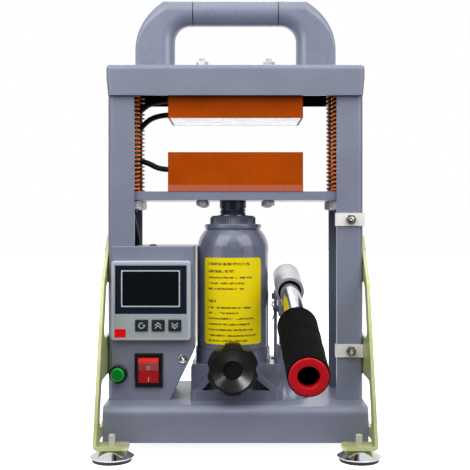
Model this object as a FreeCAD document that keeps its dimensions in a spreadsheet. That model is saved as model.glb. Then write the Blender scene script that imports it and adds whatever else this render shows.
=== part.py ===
"""Hydraulic heat press: two heated plates in a sheet-steel frame, closed by a bottle jack.

Millimetres, +Z up, front towards -Y.  Heights are measured from the floor under the feet.
Depths are first counted from the middle plane of the columns; every sub-part is then moved
back by ORIGIN_Y, so that the origin lies under the middle of the whole press.
"""
import FreeCAD, Part
import math
import os

import Sketcher

V = FreeCAD.Vector

SIZES = {
    # Frame of folded sheet
    "sheet": 4.0,
    "frame_width": 233.0,
    "column_flange": 24.2,
    "column_depth": 72.0,
    "column_height": 301.4,
    "column_bend": 5.0,
    "base_gap": 8.3,
    "base_height": 31.7,
    "base_depth": 134.0,
    "base_bend": 8.0,
    "beam_depth": 80.0,
    "beam_lip": 24.4,
    "beam_overhang": 1.0,
    "beam_taper": 1.5,
    "beam_corner": 3.5,
    "fit": 0.1,
    "clearance": 0.3,
    # Side braces
    "brace_sheet": 3.0,
    "brace_height": 179.5,
    "brace_shoulder": 137.5,
    "brace_shoulder_half": 55.0,
    "brace_top_half": 17.0,
    "brace_leg": 13.5,
    "brace_sill": 13.0,
    "brace_bar_low": 53.0,
    "brace_bar_high": 87.5,
    "brace_head_low": 136.5,
    "brace_corner": 8.0,
    "brace_bend": 4.0,
    "tab_reach": 26.5,
    "tab_half": 10.0,
    "tab_corner": 5.0,
    "brace_bolt_spread": 28.0,
    "brace_bolt_low": 84.0,
    "brace_bolt_high": 175.0,
    # Feet
    "foot_x": 104.5,
    "foot_y": 92.5,
    "foot_rim": 37.6,
    "foot_crown": 17.0,
    "foot_pad": 3.0,
    "foot_pad_base": 33.0,
    "foot_height": 7.5,
    "foot_lip": 1.3,
    "stud": 6.0,
    "stud_length": 11.7,
    "stud_edge": 0.5,
    # Carry handle
    "grip": 24.0,
    "grip_half": 40.5,
    "grip_bore": 16.0,
    "handle_rise": 66.8,
    "handle_half": 94.2,
    "handle_foot": 36.7,
    "handle_shoulder": 19.5,
    "handle_top_half": 68.0,
    "handle_bow": 6.5,
    "handle_inner_radius": 15.0,
    "handle_post_edge": 2.0,
    "handle_screw_x": 75.8,
    # Guide rods, nuts and springs
    "rod": 10.0,
    "rod_x": 96.0,
    "rod_y": 22.0,
    "rod_nut": 16.0,
    "rod_nut_height": 8.4,
    "rod_end": 2.7,
    "spring_wire": 1.8,
    "spring_mean": 13.2,
    "spring_end_bend": 2.5,
    "spring_turns": 24.0,
    # Press plates
    "plate_length": 120.0,
    "plate_width": 60.0,
    "plate_thickness": 22.0,
    "housing_wall": 2.0,
    "upper_housing": 36.0,
    "lower_housing": 30.0,
    "upper_pad": 8.0,
    "lower_pad": 6.0,
    "press_gap": 31.4,
    "plate_bolt": 6.0,
    "plate_bolt_x": 30.8,
    "plate_bolt_y": 22.0,
    "plate_bolt_bite": 12.0,
    "plate_nut": 10.0,
    "plate_nut_height": 5.0,
    "plate_stud_proud": 8.0,
    "thin_nut": 3.0,
    "button_head": 10.2,
    "button_head_height": 2.4,
    "handle_screw_bite": 12.0,
    "heater": 10.0,
    "heater_length": 100.0,
    "heater_y": 14.0,
    # Carriage beam
    "carriage_thickness": 8.0,
    "carriage_length": 212.0,
    "carriage_depth": 63.0,
    "carriage_notch": 22.0,
    "carriage_notch_end": 96.0,
    "carriage_corner": 3.0,
    # Control box
    "box_wall": 1.5,
    "box_height": 140.0,
    "box_right": 38.0,
    "box_corner_x": 59.6,
    "box_corner_z": 44.0,
    "box_left": 91.9,
    "box_depth": 66.0,
    "panel_left": 113.0,
    "panel_edge": 1.0,
    "bezel": 72.0,
    "bezel_thickness": 6.5,
    "bezel_x": 76.4,
    "bezel_z": 90.8,
    "bezel_corner": 3.0,
    "case_side": 67.0,
    "case_depth": 58.0,
    "terminal_left": 104.9,
    "terminal_right": 92.6,
    "terminal_low": 60.0,
    "terminal_high": 110.0,
    "terminal_depth": 10.5,
    "panel_screw_x": -47.8,
    "panel_screw_z": 37.6,
    "lid_screw_x": -75.5,
    "lid_screw_y": 6.0,
    "box_screw": 3.4,
    "box_screw_length": 4.5,
    "box_boss": 6.0,
    "display_width": 64.6,
    "display_height": 43.8,
    "display_depth": 1.0,
    "display_z": 100.8,
    "keypad_width": 11.0,
    "keypad_height": 9.8,
    "keypad_pitch": 15.0,
    "keypad_x": 69.7,
    "keypad_z": 68.6,
    "keypad_proud": 1.3,
    "keypad_body": 5.0,
    "keypad_travel": 0.8,
    "keypad_gap": 0.3,
    "switch_x": 78.8,
    "switch_z": 27.3,
    "switch_width": 25.5,
    "switch_height": 31.0,
    "switch_rim": 2.5,
    "switch_body_width": 22.0,
    "switch_body_height": 28.5,
    "switch_body_depth": 20.0,
    "rocker_width": 18.5,
    "rocker_radius": 11.6,
    "rocker_tilt": 20.0,
    "rocker_valley": 3.0,
    "rocker_back": 6.0,
    "rocker_pin": 2.4,
    "button_x": 106.4,
    "button_z": 24.0,
    "button_bezel": 17.0,
    "button_bezel_length": 5.5,
    "button_body": 11.6,
    "button_body_length": 22.0,
    "button_cap": 12.4,
    "button_cap_proud": 3.5,
    "button_cap_length": 5.5,
    "button_travel": 2.5,
    "button_stem": 6.0,
    "button_edge": 1.0,
    "inlet_width": 27.2,
    "inlet_height": 19.8,
    "inlet_depth": 24.0,
    "inlet_flange": 2.5,
    "inlet_flange_width": 30.8,
    "inlet_flange_height": 24.8,
    "inlet_z": 24.0,
    "inlet_x": 74.0,
    # Bottle jack
    "jack_x": -2.5,
    "jack_plate": 8.7,
    "jack_left": 41.0,
    "jack_right": 42.0,
    "jack_front": 40.0,
    "jack_block": 31.0,
    "jack_block_front": 27.0,
    "jack_seat": 44.0,
    "jack_seat_radius": 35.2,
    "jack_rear": 38.0,
    "jack_rib": 6.0,
    "jack_radius": 34.0,
    "jack_wall": 2.5,
    "jack_straight": 142.0,
    "jack_dome_top": 158.0,
    "jack_dome_radius": 26.0,
    "jack_nut_radius": 21.0,
    "jack_nut_height": 10.0,
    "jack_cylinder_wall": 4.0,
    "ram_radius": 15.0,
    "ram_proud": 0.6,
    "screw_radius": 12.5,
    "screw_length": 100.0,
    "screw_travel": 11.0,
    "stop_ring": 3.0,
    "valve_z": 31.7,
    "valve_boss": 24.4,
    "valve_boss_reach": 48.0,
    "valve_rod": 8.0,
    "valve_rod_length": 46.0,
    "knob": 46.0,
    "knob_scallop": 9.0,
    "knob_scallop_depth": 2.4,
    "knob_length": 20.0,
    "knob_gap": 2.0,
    "knob_disc": 39.0,
    "knob_recess": 17.0,
    "knob_recess_depth": 7.0,
    "knob_edge": 2.0,
    "knob_lobes": 6.0,
    "filler": 10.0,
    "filler_dome": 1.0,
    "jack_edge": 1.0,
    # Pump and lever
    "pump_x": 48.5,
    "pin_arm": 26.0,
    "pump_boss": 12.0,
    "pump_boss_top": 36.0,
    "pump_foot": 17.0,
    "pump_cylinder": 10.0,
    "pump_cylinder_height": 24.0,
    "pump_step": 2.0,
    "plunger": 10.0,
    "eye_width": 9.8,
    "eye_half": 7.0,
    "pivot_y": 8.0,
    "pivot_z": 91.0,
    "link_pin": 6.0,
    "link_pin_proud": 2.0,
    "lever_pin": 6.0,
    "clevis_tail": 4.0,
    "clevis_head": 1.0,
    "clevis_hole": 1.8,
    "lug_y": 8.0,
    "lug_z": 20.0,
    "lug_half": 7.0,
    "link_half": 6.0,
    "link_sheet": 3.0,
    "lever_droop": 11.5,
    "lever_swing": 45.0,
    "socket": 25.7,
    "socket_bore": 20.5,
    "socket_length": 55.0,
    "socket_offset": 19.9,
    "socket_edge": 2.0,
    "ear_sunk": 0.8,
    "ear_sheet": 3.2,
    "ear_inner": 5.3,
    "ear_round": 6.0,
    "lever_tube": 17.5,
    "lever_tube_bore": 13.5,
    "lever_bore_depth": 30.0,
    "lever_tube_length": 252.0,
    "lever_grip_start": 150.0,
    "lever_grip_over": 4.0,
    "lever_grip_far": 30.8,
    "lever_grip_near": 26.4,
    "lever_grip_edge": 4.0,
    "grip_ring_hole": 11.4,
    "hairpin_wire": 1.6,
    "hairpin_length": 20.0,
    # Strips on the right column, and leads
    "clip_height": 11.8,
    "clip_sheet": 1.2,
    "clip_upper_z": 164.2,
    "clip_lower_z": 44.7,
    "clip_bolt_x": 105.0,
    "clip_bolt": 5.0,
    "clip_head": 8.0,
    "clip_head_height": 3.5,
    "clip_lap": 12.0,
    "lead": 5.2,
}

doc = FreeCAD.newDocument("heat_press")
sheet = doc.addObject("Spreadsheet::Sheet", "Dims")


class Size:
    """A number together with the sheet formula that gives it."""

    def __init__(self, value, formula):
        self.value = float(value)
        self.formula = formula

    def __float__(self):
        return self.value

    def __add__(self, other):
        other = as_size(other)
        return Size(self.value + other.value, "(%s + %s)" % (self.formula, other.formula))

    def __sub__(self, other):
        other = as_size(other)
        return Size(self.value - other.value, "(%s - %s)" % (self.formula, other.formula))

    def __mul__(self, other):
        other = as_size(other)
        return Size(self.value * other.value, "(%s * %s)" % (self.formula, other.formula))

    def __truediv__(self, other):
        other = as_size(other)
        return Size(self.value / other.value, "(%s / %s)" % (self.formula, other.formula))

    def __neg__(self):
        return Size(-self.value, "(-1 * %s)" % self.formula)

    def __radd__(self, other):
        return as_size(other) + self

    def __rsub__(self, other):
        return as_size(other) - self

    def __rmul__(self, other):
        return as_size(other) * self


def as_size(number):
    """Return number as a Size; a plain number stands for itself in a formula."""
    return number if isinstance(number, Size) else Size(number, repr(float(number)))


def cosine(angle):
    """Cosine of an angle in degrees."""
    return Size(math.cos(math.radians(angle.value)), "cos(%s)" % angle.formula)


def sine(angle):
    """Sine of an angle in degrees."""
    return Size(math.sin(math.radians(angle.value)), "sin(%s)" % angle.formula)


def root(size):
    """Square root of a size."""
    return Size(math.sqrt(size.value), "sqrt(%s)" % size.formula)


class Dimensions:
    """The driving dimensions: one named cell of the sheet for each."""

    def __init__(self, sizes):
        for row, (name, value) in enumerate(sizes.items(), start=1):
            sheet.set("A%d" % row, name)
            sheet.set("B%d" % row, str(value))
            sheet.setAlias("B%d" % row, name)
            setattr(self, name, Size(value, "Dims." + name))


D = Dimensions(SIZES)
doc.recompute()

# Heights of the main levels
TAB_TOP = D.foot_pad + D.foot_height + D.brace_sheet
TAB_BOTTOM = D.foot_pad + D.foot_height
BASE_TOP = D.base_gap + D.base_height
COLUMN_TOP = BASE_TOP + D.column_height
BEAM_TOP = COLUMN_TOP + D.sheet
UPPER_STACK = COLUMN_TOP - D.upper_pad
PRESS_UPPER = UPPER_STACK - D.upper_housing
PRESS_LOWER = PRESS_UPPER - D.press_gap
LOWER_STACK = PRESS_LOWER - D.lower_housing
CARRIAGE_TOP = LOWER_STACK - D.lower_pad
CARRIAGE_BOTTOM = CARRIAGE_TOP - D.carriage_thickness
ROD_NUT_BOTTOM = COLUMN_TOP - D.rod_nut_height
JACK_TOP = BASE_TOP + D.jack_dome_top + D.jack_nut_height

# Widths and depths of the frame
FRAME_HALF = D.frame_width / 2
FLANGE_EDGE = FRAME_HALF - D.column_flange
WEB_INNER = FRAME_HALF - D.sheet
COLUMN_FRONT = -D.column_depth / 2
BRACE_OUTER = FRAME_HALF + D.brace_sheet
PANEL_FRONT = COLUMN_FRONT - D.box_wall

# The lever turns about its pivot; half of its swing lies below the level of the pivot
HALF_SWING = D.lever_swing / 2
PIVOT_Z = BASE_TOP + D.pivot_z
PUMP_Y = D.pivot_y - D.pin_arm * (1 + cosine(HALF_SWING)) / 2
PIN_Z = PIVOT_Z - D.pin_arm * sine(HALF_SWING)
PIN_SHIFT = D.pin_arm * (1 - cosine(HALF_SWING)) / 2
PIN_ALONG = D.pin_arm * cosine(HALF_SWING - D.lever_droop)
PIN_BELOW = D.socket_offset + D.pin_arm * sine(HALF_SWING - D.lever_droop)
EAR_OUTER = D.ear_inner + D.ear_sheet

# The lever's axis starts at the rear end of its socket and points down to the front
LEVER_Y = D.pivot_y - D.socket_offset * sine(D.lever_droop)
LEVER_Z = BASE_TOP + D.pivot_z + D.socket_offset * cosine(D.lever_droop)
RING_ROUND = (D.lever_grip_near - D.grip_ring_hole) / 4
RING_MIDDLE = (D.lever_grip_near + D.grip_ring_hole) / 4
GRIP_END = D.lever_tube_length + D.lever_grip_over
REACH_FRONT = LEVER_Y - GRIP_END * cosine(D.lever_droop) \
    - RING_MIDDLE * sine(D.lever_droop) - RING_ROUND
REACH_REAR = D.foot_y + D.foot_rim / 2
ORIGIN_Y = -(REACH_FRONT + REACH_REAR) / 2

# Screws of the control box: the places of those that hold its rear cover
SCREW_STEM = D.box_screw / 2
COVER_SCREWS = [
    (-D.box_right - D.box_wall - D.box_screw, BASE_TOP + D.box_height - D.box_wall - D.box_screw),
    (-D.box_left + D.box_screw, BASE_TOP + D.box_height - D.box_wall - D.box_screw),
    (-D.box_right - D.box_wall - D.box_screw, BASE_TOP + D.box_corner_z + D.box_screw * 2),
    (-D.box_left + D.box_screw, BASE_TOP + D.box_wall + D.box_screw),
]

# Pump plunger and release valve
PLUNGER_LOW = BASE_TOP + D.pump_boss_top - D.pump_boss
VALVE_FRONT = -D.valve_boss_reach - D.knob_gap - D.knob_length
VALVE_TIP = VALVE_FRONT + D.knob_length / 2 + D.valve_rod_length
LINK_REACH = EAR_OUTER + D.clearance + D.link_sheet + D.link_pin_proud

# Routes of the leads, in press coordinates, from the plates down to the control box
LEAD_EXIT = -D.plate_length.value / 2
UPPER_DROP = -101.0
LOWER_DROP = -108.7


def on_way(share, drop):
    """X of a lead at a share of its way from the plate's end to the line where it drops."""
    return LEAD_EXIT + share * (drop - LEAD_EXIT)


UPPER_ROUTES = (
    ((LEAD_EXIT, -10.0, 316.0), (on_way(0.39, UPPER_DROP), -10.0, 316.0),
     (on_way(0.756, UPPER_DROP), -10.0, 306.0), (on_way(0.976, UPPER_DROP), -8.0, 289.0),
     (UPPER_DROP, -7.5, 258.0), (UPPER_DROP, -7.0, 226.0), (-101.4, 9.5, 205.0),
     (-102.0, 27.5, 183.0), (-102.0, 27.5, 150.0)),
    ((LEAD_EXIT, 8.0, 305.0), (on_way(0.39, UPPER_DROP), 8.0, 305.0),
     (on_way(0.756, UPPER_DROP), 9.0, 294.0), (on_way(0.963, UPPER_DROP), 8.0, 276.0),
     (UPPER_DROP, 7.5, 250.0), (-100.5, 7.0, 214.0), (-97.5, 17.0, 198.0), (-95.5, 27.5, 183.0),
     (-95.5, 27.5, 150.0)),
)
LOWER_ROUTE = (
    (LEAD_EXIT, 0.0, 252.0), (on_way(0.246, LOWER_DROP), 0.0, 252.0),
    (on_way(0.476, LOWER_DROP), -0.4, 258.4), (on_way(0.7, LOWER_DROP), 0.3, 260.8),
    (on_way(0.889, LOWER_DROP), 0.0, 257.1), (LOWER_DROP, 0.0, 248.6), (-108.5, -0.5, 229.0),
    (LOWER_DROP, 13.0, 209.0), (LOWER_DROP, 28.3, 186.0), (-108.6, 28.4, 150.0))

# Corner points of the hairpin: outwards in wire diameters, upwards in halves of its length
HAIRPIN = ((0.0, -1.0), (0.0, 0.85), (1.6, 1.25), (3.2, 0.85), (2.9, 0.25), (4.0, -0.5),
           (3.2, -1.0))

# How far a cut runs past the faces that it opens
OVER = as_size(1.0)

# The press front faces -Y: turns that point a sub-part's own Z axis forwards, back or up
FORWARD = (V(1, 0, 0), 90.0)
BACKWARD = (V(1, 0, 0), -90.0)
UPWARD = (V(0, 0, 1), 0.0)

nodes = {}


def bind(obj, prop, size):
    """Tie a property to the sheet, and set it at once too."""
    obj.setExpression(prop, as_size(size).formula)


def place(obj, x=0.0, y=0.0, z=0.0, axis=V(0, 0, 1), angle=0.0):
    """Put a sub-part at a place given in press coordinates."""
    x, y, z = as_size(x), as_size(y), as_size(z)
    obj.Placement = FreeCAD.Placement(V(x.value, y.value, z.value),
                                      FreeCAD.Rotation(axis, float(angle)))
    bind(obj, "Placement.Base.x", x)
    bind(obj, "Placement.Base.y", y)
    bind(obj, "Placement.Base.z", z)
    return obj


def node(name, obj, x=0.0, y=0.0, z=0.0, axis=V(0, 0, 1), angle=0.0):
    """Register a sub-part under the name of its file, moved to the press's own origin."""
    place(obj, x, as_size(y) + ORIGIN_Y, z, axis, angle)
    obj.Label = name
    nodes[name] = obj
    return obj


def group(name, pieces):
    """Several separate solids that share one node."""
    compound = doc.addObject("Part::Compound", name)
    compound.Links = pieces
    return node(name, compound)


def mirrored(source):
    """A copy of a piece on the other side of the press."""
    copy = doc.addObject("Part::Mirroring", source.Name + "Twin")
    copy.Source = source
    copy.Normal = V(1, 0, 0)
    return copy


def new_body(name):
    """An empty body; it takes disjoint solids too."""
    return doc.addObject("PartDesign::Body", name)


def origin_plane(body, plane):
    """One of the body's own origin planes: XY, XZ or YZ."""
    return next(item for item in body.Origin.OriginFeatures if item.Role == plane + "_Plane")


class Circle:
    """A full circle in an outline."""

    def __init__(self, x, y, radius):
        self.x = as_size(x)
        self.y = as_size(y)
        self.radius = as_size(radius)


def pin_point(sketch, geometry, end, x, y):
    """Fix a point of the sketch at two bound distances from its origin."""
    for kind, size in (("DistanceX", x), ("DistanceY", y)):
        index = sketch.addConstraint(
            Sketcher.Constraint(kind, -1, 1, geometry, end, size.value))
        bind(sketch, "Constraints[%d]" % index, size)


def draw_circle(sketch, circle):
    """A circle with its centre and radius bound."""
    centre = V(circle.x.value, circle.y.value, 0)
    index = sketch.addGeometry(Part.Circle(centre, V(0, 0, 1), circle.radius.value), False)
    pin_point(sketch, index, 3, circle.x, circle.y)
    radius = sketch.addConstraint(Sketcher.Constraint("Radius", index, circle.radius.value))
    bind(sketch, "Constraints[%d]" % radius, circle.radius)


def draw_loop(sketch, points):
    """A closed loop; a point with a third number ends an arc that bulges by that height.

    The bulge lies to the right of the way the loop runs, so a positive one swells a loop
    that is drawn anticlockwise.
    """
    loop = [tuple(as_size(value) for value in point) for point in points]
    for start, end in zip(loop, loop[1:] + loop[:1]):
        a = V(start[0].value, start[1].value, 0)
        b = V(end[0].value, end[1].value, 0)
        if len(end) == 2:
            index = sketch.addGeometry(Part.LineSegment(a, b), False)
            pin_point(sketch, index, 1, start[0], start[1])
            pin_point(sketch, index, 2, end[0], end[1])
            continue
        if near(2 * abs(end[2].value), (b - a).Length):
            draw_half_round(sketch, start, end)
            continue
        across = V(b.y - a.y, a.x - b.x, 0).normalize()
        middle = (a + b) / 2 + across * end[2].value
        index = sketch.addGeometry(Part.Arc(a, middle, b), False)
        forward = sketch.getPoint(index, 1).distanceToPoint(a) < 1e-6
        pin_point(sketch, index, 1 if forward else 2, start[0], start[1])
        pin_point(sketch, index, 2 if forward else 1, end[0], end[1])
        run = (end[0] - start[0]) * (end[0] - start[0]) + (end[1] - start[1]) * (end[1] - start[1])
        radius = (run / 4 + end[2] * end[2]) / (2 * end[2])
        if radius.value < 0:
            radius = -radius
        limit = sketch.addConstraint(Sketcher.Constraint("Radius", index, radius.value))
        bind(sketch, "Constraints[%d]" % limit, radius)


def draw_half_round(sketch, start, end):
    """Half a circle to the right of the way from start to end, held by its centre."""
    a = V(start[0].value, start[1].value, 0)
    b = V(end[0].value, end[1].value, 0)
    across = V(b.y - a.y, a.x - b.x, 0).normalize()
    middle = (a + b) / 2 + across * end[2].value
    index = sketch.addGeometry(Part.Arc(a, middle, b), False)
    forward = sketch.getPoint(index, 1).distanceToPoint(a) < 1e-6
    pin_point(sketch, index, 1 if forward else 2, start[0], start[1])
    pin_point(sketch, index, 3, (start[0] + end[0]) / 2, (start[1] + end[1]) / 2)
    kind, size = ("DistanceY", end[1]) if abs(b.x - a.x) > abs(b.y - a.y) else ("DistanceX", end[0])
    limit = sketch.addConstraint(
        Sketcher.Constraint(kind, -1, 1, index, 2 if forward else 1, size.value))
    bind(sketch, "Constraints[%d]" % limit, size)


def draw(body, plane, offset, loops):
    """A sketch in one of the body's planes, at a bound distance along the plane's normal."""
    sketch = body.newObject("Sketcher::SketchObject", body.Name + "Sketch")
    sketch.AttachmentSupport = [(origin_plane(body, plane), "")]
    sketch.MapMode = "FlatFace"
    bind(sketch, "AttachmentOffset.Base.z", offset)
    for loop in loops:
        if isinstance(loop, Circle):
            draw_circle(sketch, loop)
        else:
            draw_loop(sketch, loop)
    return sketch


def prism(body, plane, low, high, *loops, cut=False):
    """Pad or pocket the loops between two coordinates on the world axis across the plane."""
    low, high = as_size(low), as_size(high)
    sketch = draw(body, plane, -low if plane == "XZ" else low, loops)
    kind = "PartDesign::Pocket" if cut else "PartDesign::Pad"
    feature = body.newObject(kind, body.Name + ("Pocket" if cut else "Pad"))
    feature.Profile = sketch
    feature.Reversed = (plane == "XZ") != cut
    bind(feature, "Length", high - low)
    return feature


def turned(body, *loops, cut=False):
    """Turn outlines of (radius, height) about the body's own Z axis."""
    sketch = draw(body, "XZ", 0.0, loops)
    kind = "PartDesign::Groove" if cut else "PartDesign::Revolution"
    feature = body.newObject(kind, body.Name + "Turned")
    feature.Profile = sketch
    feature.ReferenceAxis = (sketch, ["V_Axis"])
    feature.Angle = 360.0
    return feature


def box_loop(x0, y0, x1, y1):
    """The four corners of a rectangle."""
    return [(x0, y0), (x1, y0), (x1, y1), (x0, y1)]


def picked_edges(shape, pick):
    """Names of the edges of a shape for which pick(edge) holds."""
    return ["Edge%d" % (index + 1) for index, edge in enumerate(shape.Edges) if pick(edge)]


def dress(body, kind, size, pick):
    """Fillet or chamfer the picked edges of what the body holds so far."""
    doc.recompute()
    base = body.Tip
    names = picked_edges(base.Shape, pick)
    if not names:
        raise ValueError("no edge picked on " + body.Name)
    feature = body.newObject("PartDesign::" + kind, body.Name + kind)
    feature.Base = (base, names)
    bind(feature, "Radius" if kind == "Fillet" else "Size", size)
    return feature


def fillet(body, radius, pick):
    """Round the picked edges."""
    return dress(body, "Fillet", radius, pick)


def chamfer(body, size, pick):
    """Bevel the picked edges."""
    return dress(body, "Chamfer", size, pick)


def near(value, target, slack=0.01):
    """True when two lengths agree."""
    return abs(value - float(target)) < slack


def runs_along(edge, axis):
    """True for a straight edge along x, y or z."""
    box = edge.BoundBox
    spans = {"x": box.XLength, "y": box.YLength, "z": box.ZLength}
    return all(near(length, 0) for name, length in spans.items() if name != axis)


def rod_between(name, start, end, radius):
    """A plain cylinder from start upwards, lengthwise or forwards, by its end points."""
    start = [as_size(value) for value in start]
    end = [as_size(value) for value in end]
    piece = doc.addObject("Part::Cylinder", name)
    bind(piece, "Radius", radius)
    spans = [b - a for a, b in zip(start, end)]
    axis = max(range(3), key=lambda index: abs(spans[index].value))
    span = spans[axis] if spans[axis].value > 0 else -spans[axis]
    foot = start if spans[axis].value > 0 else end
    bind(piece, "Height", span)
    turn = {0: (V(0, 1, 0), 90.0), 1: (V(1, 0, 0), -90.0), 2: (V(0, 0, 1), 0.0)}[axis]
    return place(piece, foot[0], foot[1], foot[2], turn[0], turn[1])


def hexagon(name, across, height, start, axis):
    """A hexagonal head or nut that starts at a point and grows along +x, +y or +z."""
    piece = doc.addObject("Part::Prism", name)
    piece.Polygon = 6
    bind(piece, "Circumradius", as_size(across) / cosine(as_size(30.0)) / 2)
    bind(piece, "Height", height)
    turn = {"x": (V(0, 1, 0), 90.0), "y": (V(1, 0, 0), -90.0), "z": (V(0, 0, 1), 0.0)}[axis]
    return place(piece, start[0], start[1], start[2], turn[0], turn[1])


def joined(name, first, second):
    """Two primitives made one solid."""
    piece = doc.addObject("Part::Fuse", name)
    piece.Base = first
    piece.Tool = second
    return piece


def bored(name, outer, bore):
    """A primitive with another taken out of it."""
    piece = doc.addObject("Part::Cut", name)
    piece.Base = outer
    piece.Tool = bore
    return piece


def corners(x, y):
    """The four places at plus and minus x and y."""
    return [(sx * x, sy * y) for sx in (-1, 1) for sy in (-1, 1)]


def make_base_channel():
    """Folded base, web up: the columns, the jack and the control box stand on it."""
    body = new_body("base_channel")
    half = D.base_depth / 2
    prism(body, "YZ", -FRAME_HALF, FRAME_HALF, [
        (-half, D.base_gap), (-half + D.sheet, D.base_gap), (-half + D.sheet, BASE_TOP - D.sheet),
        (half - D.sheet, BASE_TOP - D.sheet), (half - D.sheet, D.base_gap), (half, D.base_gap),
        (half, BASE_TOP), (-half, BASE_TOP)])
    fillet(body, D.base_bend, lambda edge: runs_along(edge, "x")
           and near(edge.BoundBox.ZMin, BASE_TOP))
    fillet(body, D.base_bend - D.sheet, lambda edge: runs_along(edge, "x")
           and near(edge.BoundBox.ZMin, BASE_TOP - D.sheet)
           and near(abs(edge.BoundBox.YMin), half - D.sheet))
    return node("base_channel", body)


def make_column(name, side):
    """One upright: a U channel, web outwards; side is -1 for the left one."""
    body = new_body(name)
    half = D.column_depth / 2
    outer, edge_x, inner = side * FRAME_HALF, side * FLANGE_EDGE, side * WEB_INNER
    prism(body, "XY", BASE_TOP, COLUMN_TOP, [
        (outer, -half), (edge_x, -half), (edge_x, -half + D.sheet), (inner, -half + D.sheet),
        (inner, half - D.sheet), (edge_x, half - D.sheet), (edge_x, half), (outer, half)])
    fillet(body, D.column_bend, lambda edge: runs_along(edge, "z")
           and near(edge.BoundBox.XMin, outer))
    fillet(body, D.column_bend - D.sheet, lambda edge: runs_along(edge, "z")
           and near(edge.BoundBox.XMin, inner))
    if side < 0:
        gap = D.clearance * 2
        left = -(D.bezel_x + D.case_side / 2) - gap
        low = BASE_TOP + D.bezel_z - D.case_side / 2 - gap
        prism(body, "XZ", -half - OVER, -half + D.sheet + OVER,
              box_loop(left, low, edge_x + OVER, low + D.case_side + 2 * gap), cut=True)
        prism(body, "XZ", -half - OVER, -half + D.sheet + OVER,
              Circle(-D.button_x, BASE_TOP + D.button_z, D.button_body / 2 + D.fit), cut=True)
    else:
        for level in (D.clip_lower_z, D.clip_upper_z):
            prism(body, "XZ", -half - OVER, -half + D.sheet + OVER,
                  Circle(D.clip_bolt_x, BASE_TOP + level, D.clip_bolt / 2 + D.fit), cut=True)
    holes = [Circle(sy * D.brace_bolt_spread / 2, level, D.plate_bolt / 2 + D.fit)
             for sy in (-1, 1) for level in (D.brace_bolt_low, D.brace_bolt_high)]
    low, high = sorted((outer + side * OVER, inner - side * OVER), key=float)
    prism(body, "YZ", low, high, *holes, cut=True)
    return node(name, body)


def make_top_beam():
    """Folded beam over the column heads, web up, with tapered flange corners."""
    body = new_body("top_beam")
    half = D.beam_depth / 2
    low = COLUMN_TOP - D.beam_lip
    reach = FRAME_HALF + D.beam_overhang
    prism(body, "YZ", -reach, reach, [
        (-half, low), (-half + D.sheet, low), (-half + D.sheet, COLUMN_TOP),
        (half - D.sheet, COLUMN_TOP), (half - D.sheet, low), (half, low),
        (half, BEAM_TOP), (-half, BEAM_TOP)])
    for side in (-1, 1):
        prism(body, "XZ", -half - OVER, half + OVER, [
            (side * reach, COLUMN_TOP - D.beam_lip / 3), (side * (reach + OVER), low - OVER),
            (side * (reach - D.beam_taper), low - OVER), (side * (reach - D.beam_taper), low)],
            cut=True)
    fillet(body, D.column_bend, lambda edge: runs_along(edge, "x")
           and near(edge.BoundBox.ZMin, BEAM_TOP))
    fillet(body, D.column_bend - D.sheet, lambda edge: runs_along(edge, "x")
           and near(edge.BoundBox.ZMin, COLUMN_TOP)
           and near(abs(edge.BoundBox.YMin), half - D.sheet))
    fillet(body, D.beam_corner, lambda edge: runs_along(edge, "y")
           and near(edge.BoundBox.ZMin, BEAM_TOP))
    studs = [Circle(x, y, D.plate_bolt / 2 + D.fit)
             for x, y in corners(D.plate_bolt_x, D.plate_bolt_y)]
    screws = [Circle(sx * D.handle_screw_x, 0.0, D.plate_bolt / 2 + D.fit) for sx in (-1, 1)]
    prism(body, "XY", COLUMN_TOP - OVER, BEAM_TOP + OVER, *studs, *screws, cut=True)
    return node("top_beam", body)


def make_handle_ends():
    """Two cast ends of the carry handle, square at the foot and round at the grip."""
    body = new_body("handle_end")
    half = D.grip / 2
    top = BEAM_TOP + D.handle_rise
    under = top - D.grip
    foot = D.handle_half - D.handle_foot
    inner_top = foot - D.handle_inner_radius
    bulge = D.handle_inner_radius * (1 - math.sqrt(0.5))
    prism(body, "XZ", -half, half, [
        (foot, BEAM_TOP), (D.handle_half, BEAM_TOP), (D.handle_half, BEAM_TOP + D.handle_shoulder),
        (D.handle_top_half, top, D.handle_bow), (D.grip_half, top), (D.grip_half, under),
        (inner_top, under), (foot, under - D.handle_inner_radius, -bulge)])
    prism(body, "XY", BEAM_TOP - OVER, BEAM_TOP + D.handle_screw_bite,
          Circle(D.handle_screw_x, 0.0, D.plate_bolt / 2), cut=True)
    doc.recompute()
    rounded = doc.addObject("Part::Fillet", "handle_end_rounded")
    rounded.Base = body
    full = float(half - D.clearance)
    slight = D.handle_post_edge.value
    edges = []
    for index, edge in enumerate(body.Shape.Edges, start=1):
        box = edge.BoundBox
        lengthwise = near(box.YMin, box.YMax) and near(abs(box.YMin), half)
        if not lengthwise or near(box.ZMax, BEAM_TOP) or near(box.XMax, D.grip_half):
            continue
        if box.XMax < foot.value + 0.01 or near(box.ZMin, top):
            edges.append((index, full, full))
        elif near(box.XMin, D.handle_half):
            edges.append((index, slight, slight))
        elif edge.Vertexes[0].Point.z > edge.Vertexes[-1].Point.z:
            edges.append((index, full, slight))
        else:
            edges.append((index, slight, full))
    rounded.Edges = edges
    return group("handle_ends", [rounded, mirrored(rounded)])


def make_handle_grip():
    """The tube between the two cast ends."""
    level = BEAM_TOP + D.handle_rise - D.grip / 2
    ends = ((-D.grip_half, 0.0, level), (D.grip_half, 0.0, level))
    tube = rod_between("handle_grip_tube", ends[0], ends[1], D.grip / 2)
    bore = rod_between("handle_grip_bore", ends[0], ends[1], D.grip_bore / 2)
    return node("handle_grip", bored("handle_grip", tube, bore))


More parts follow.
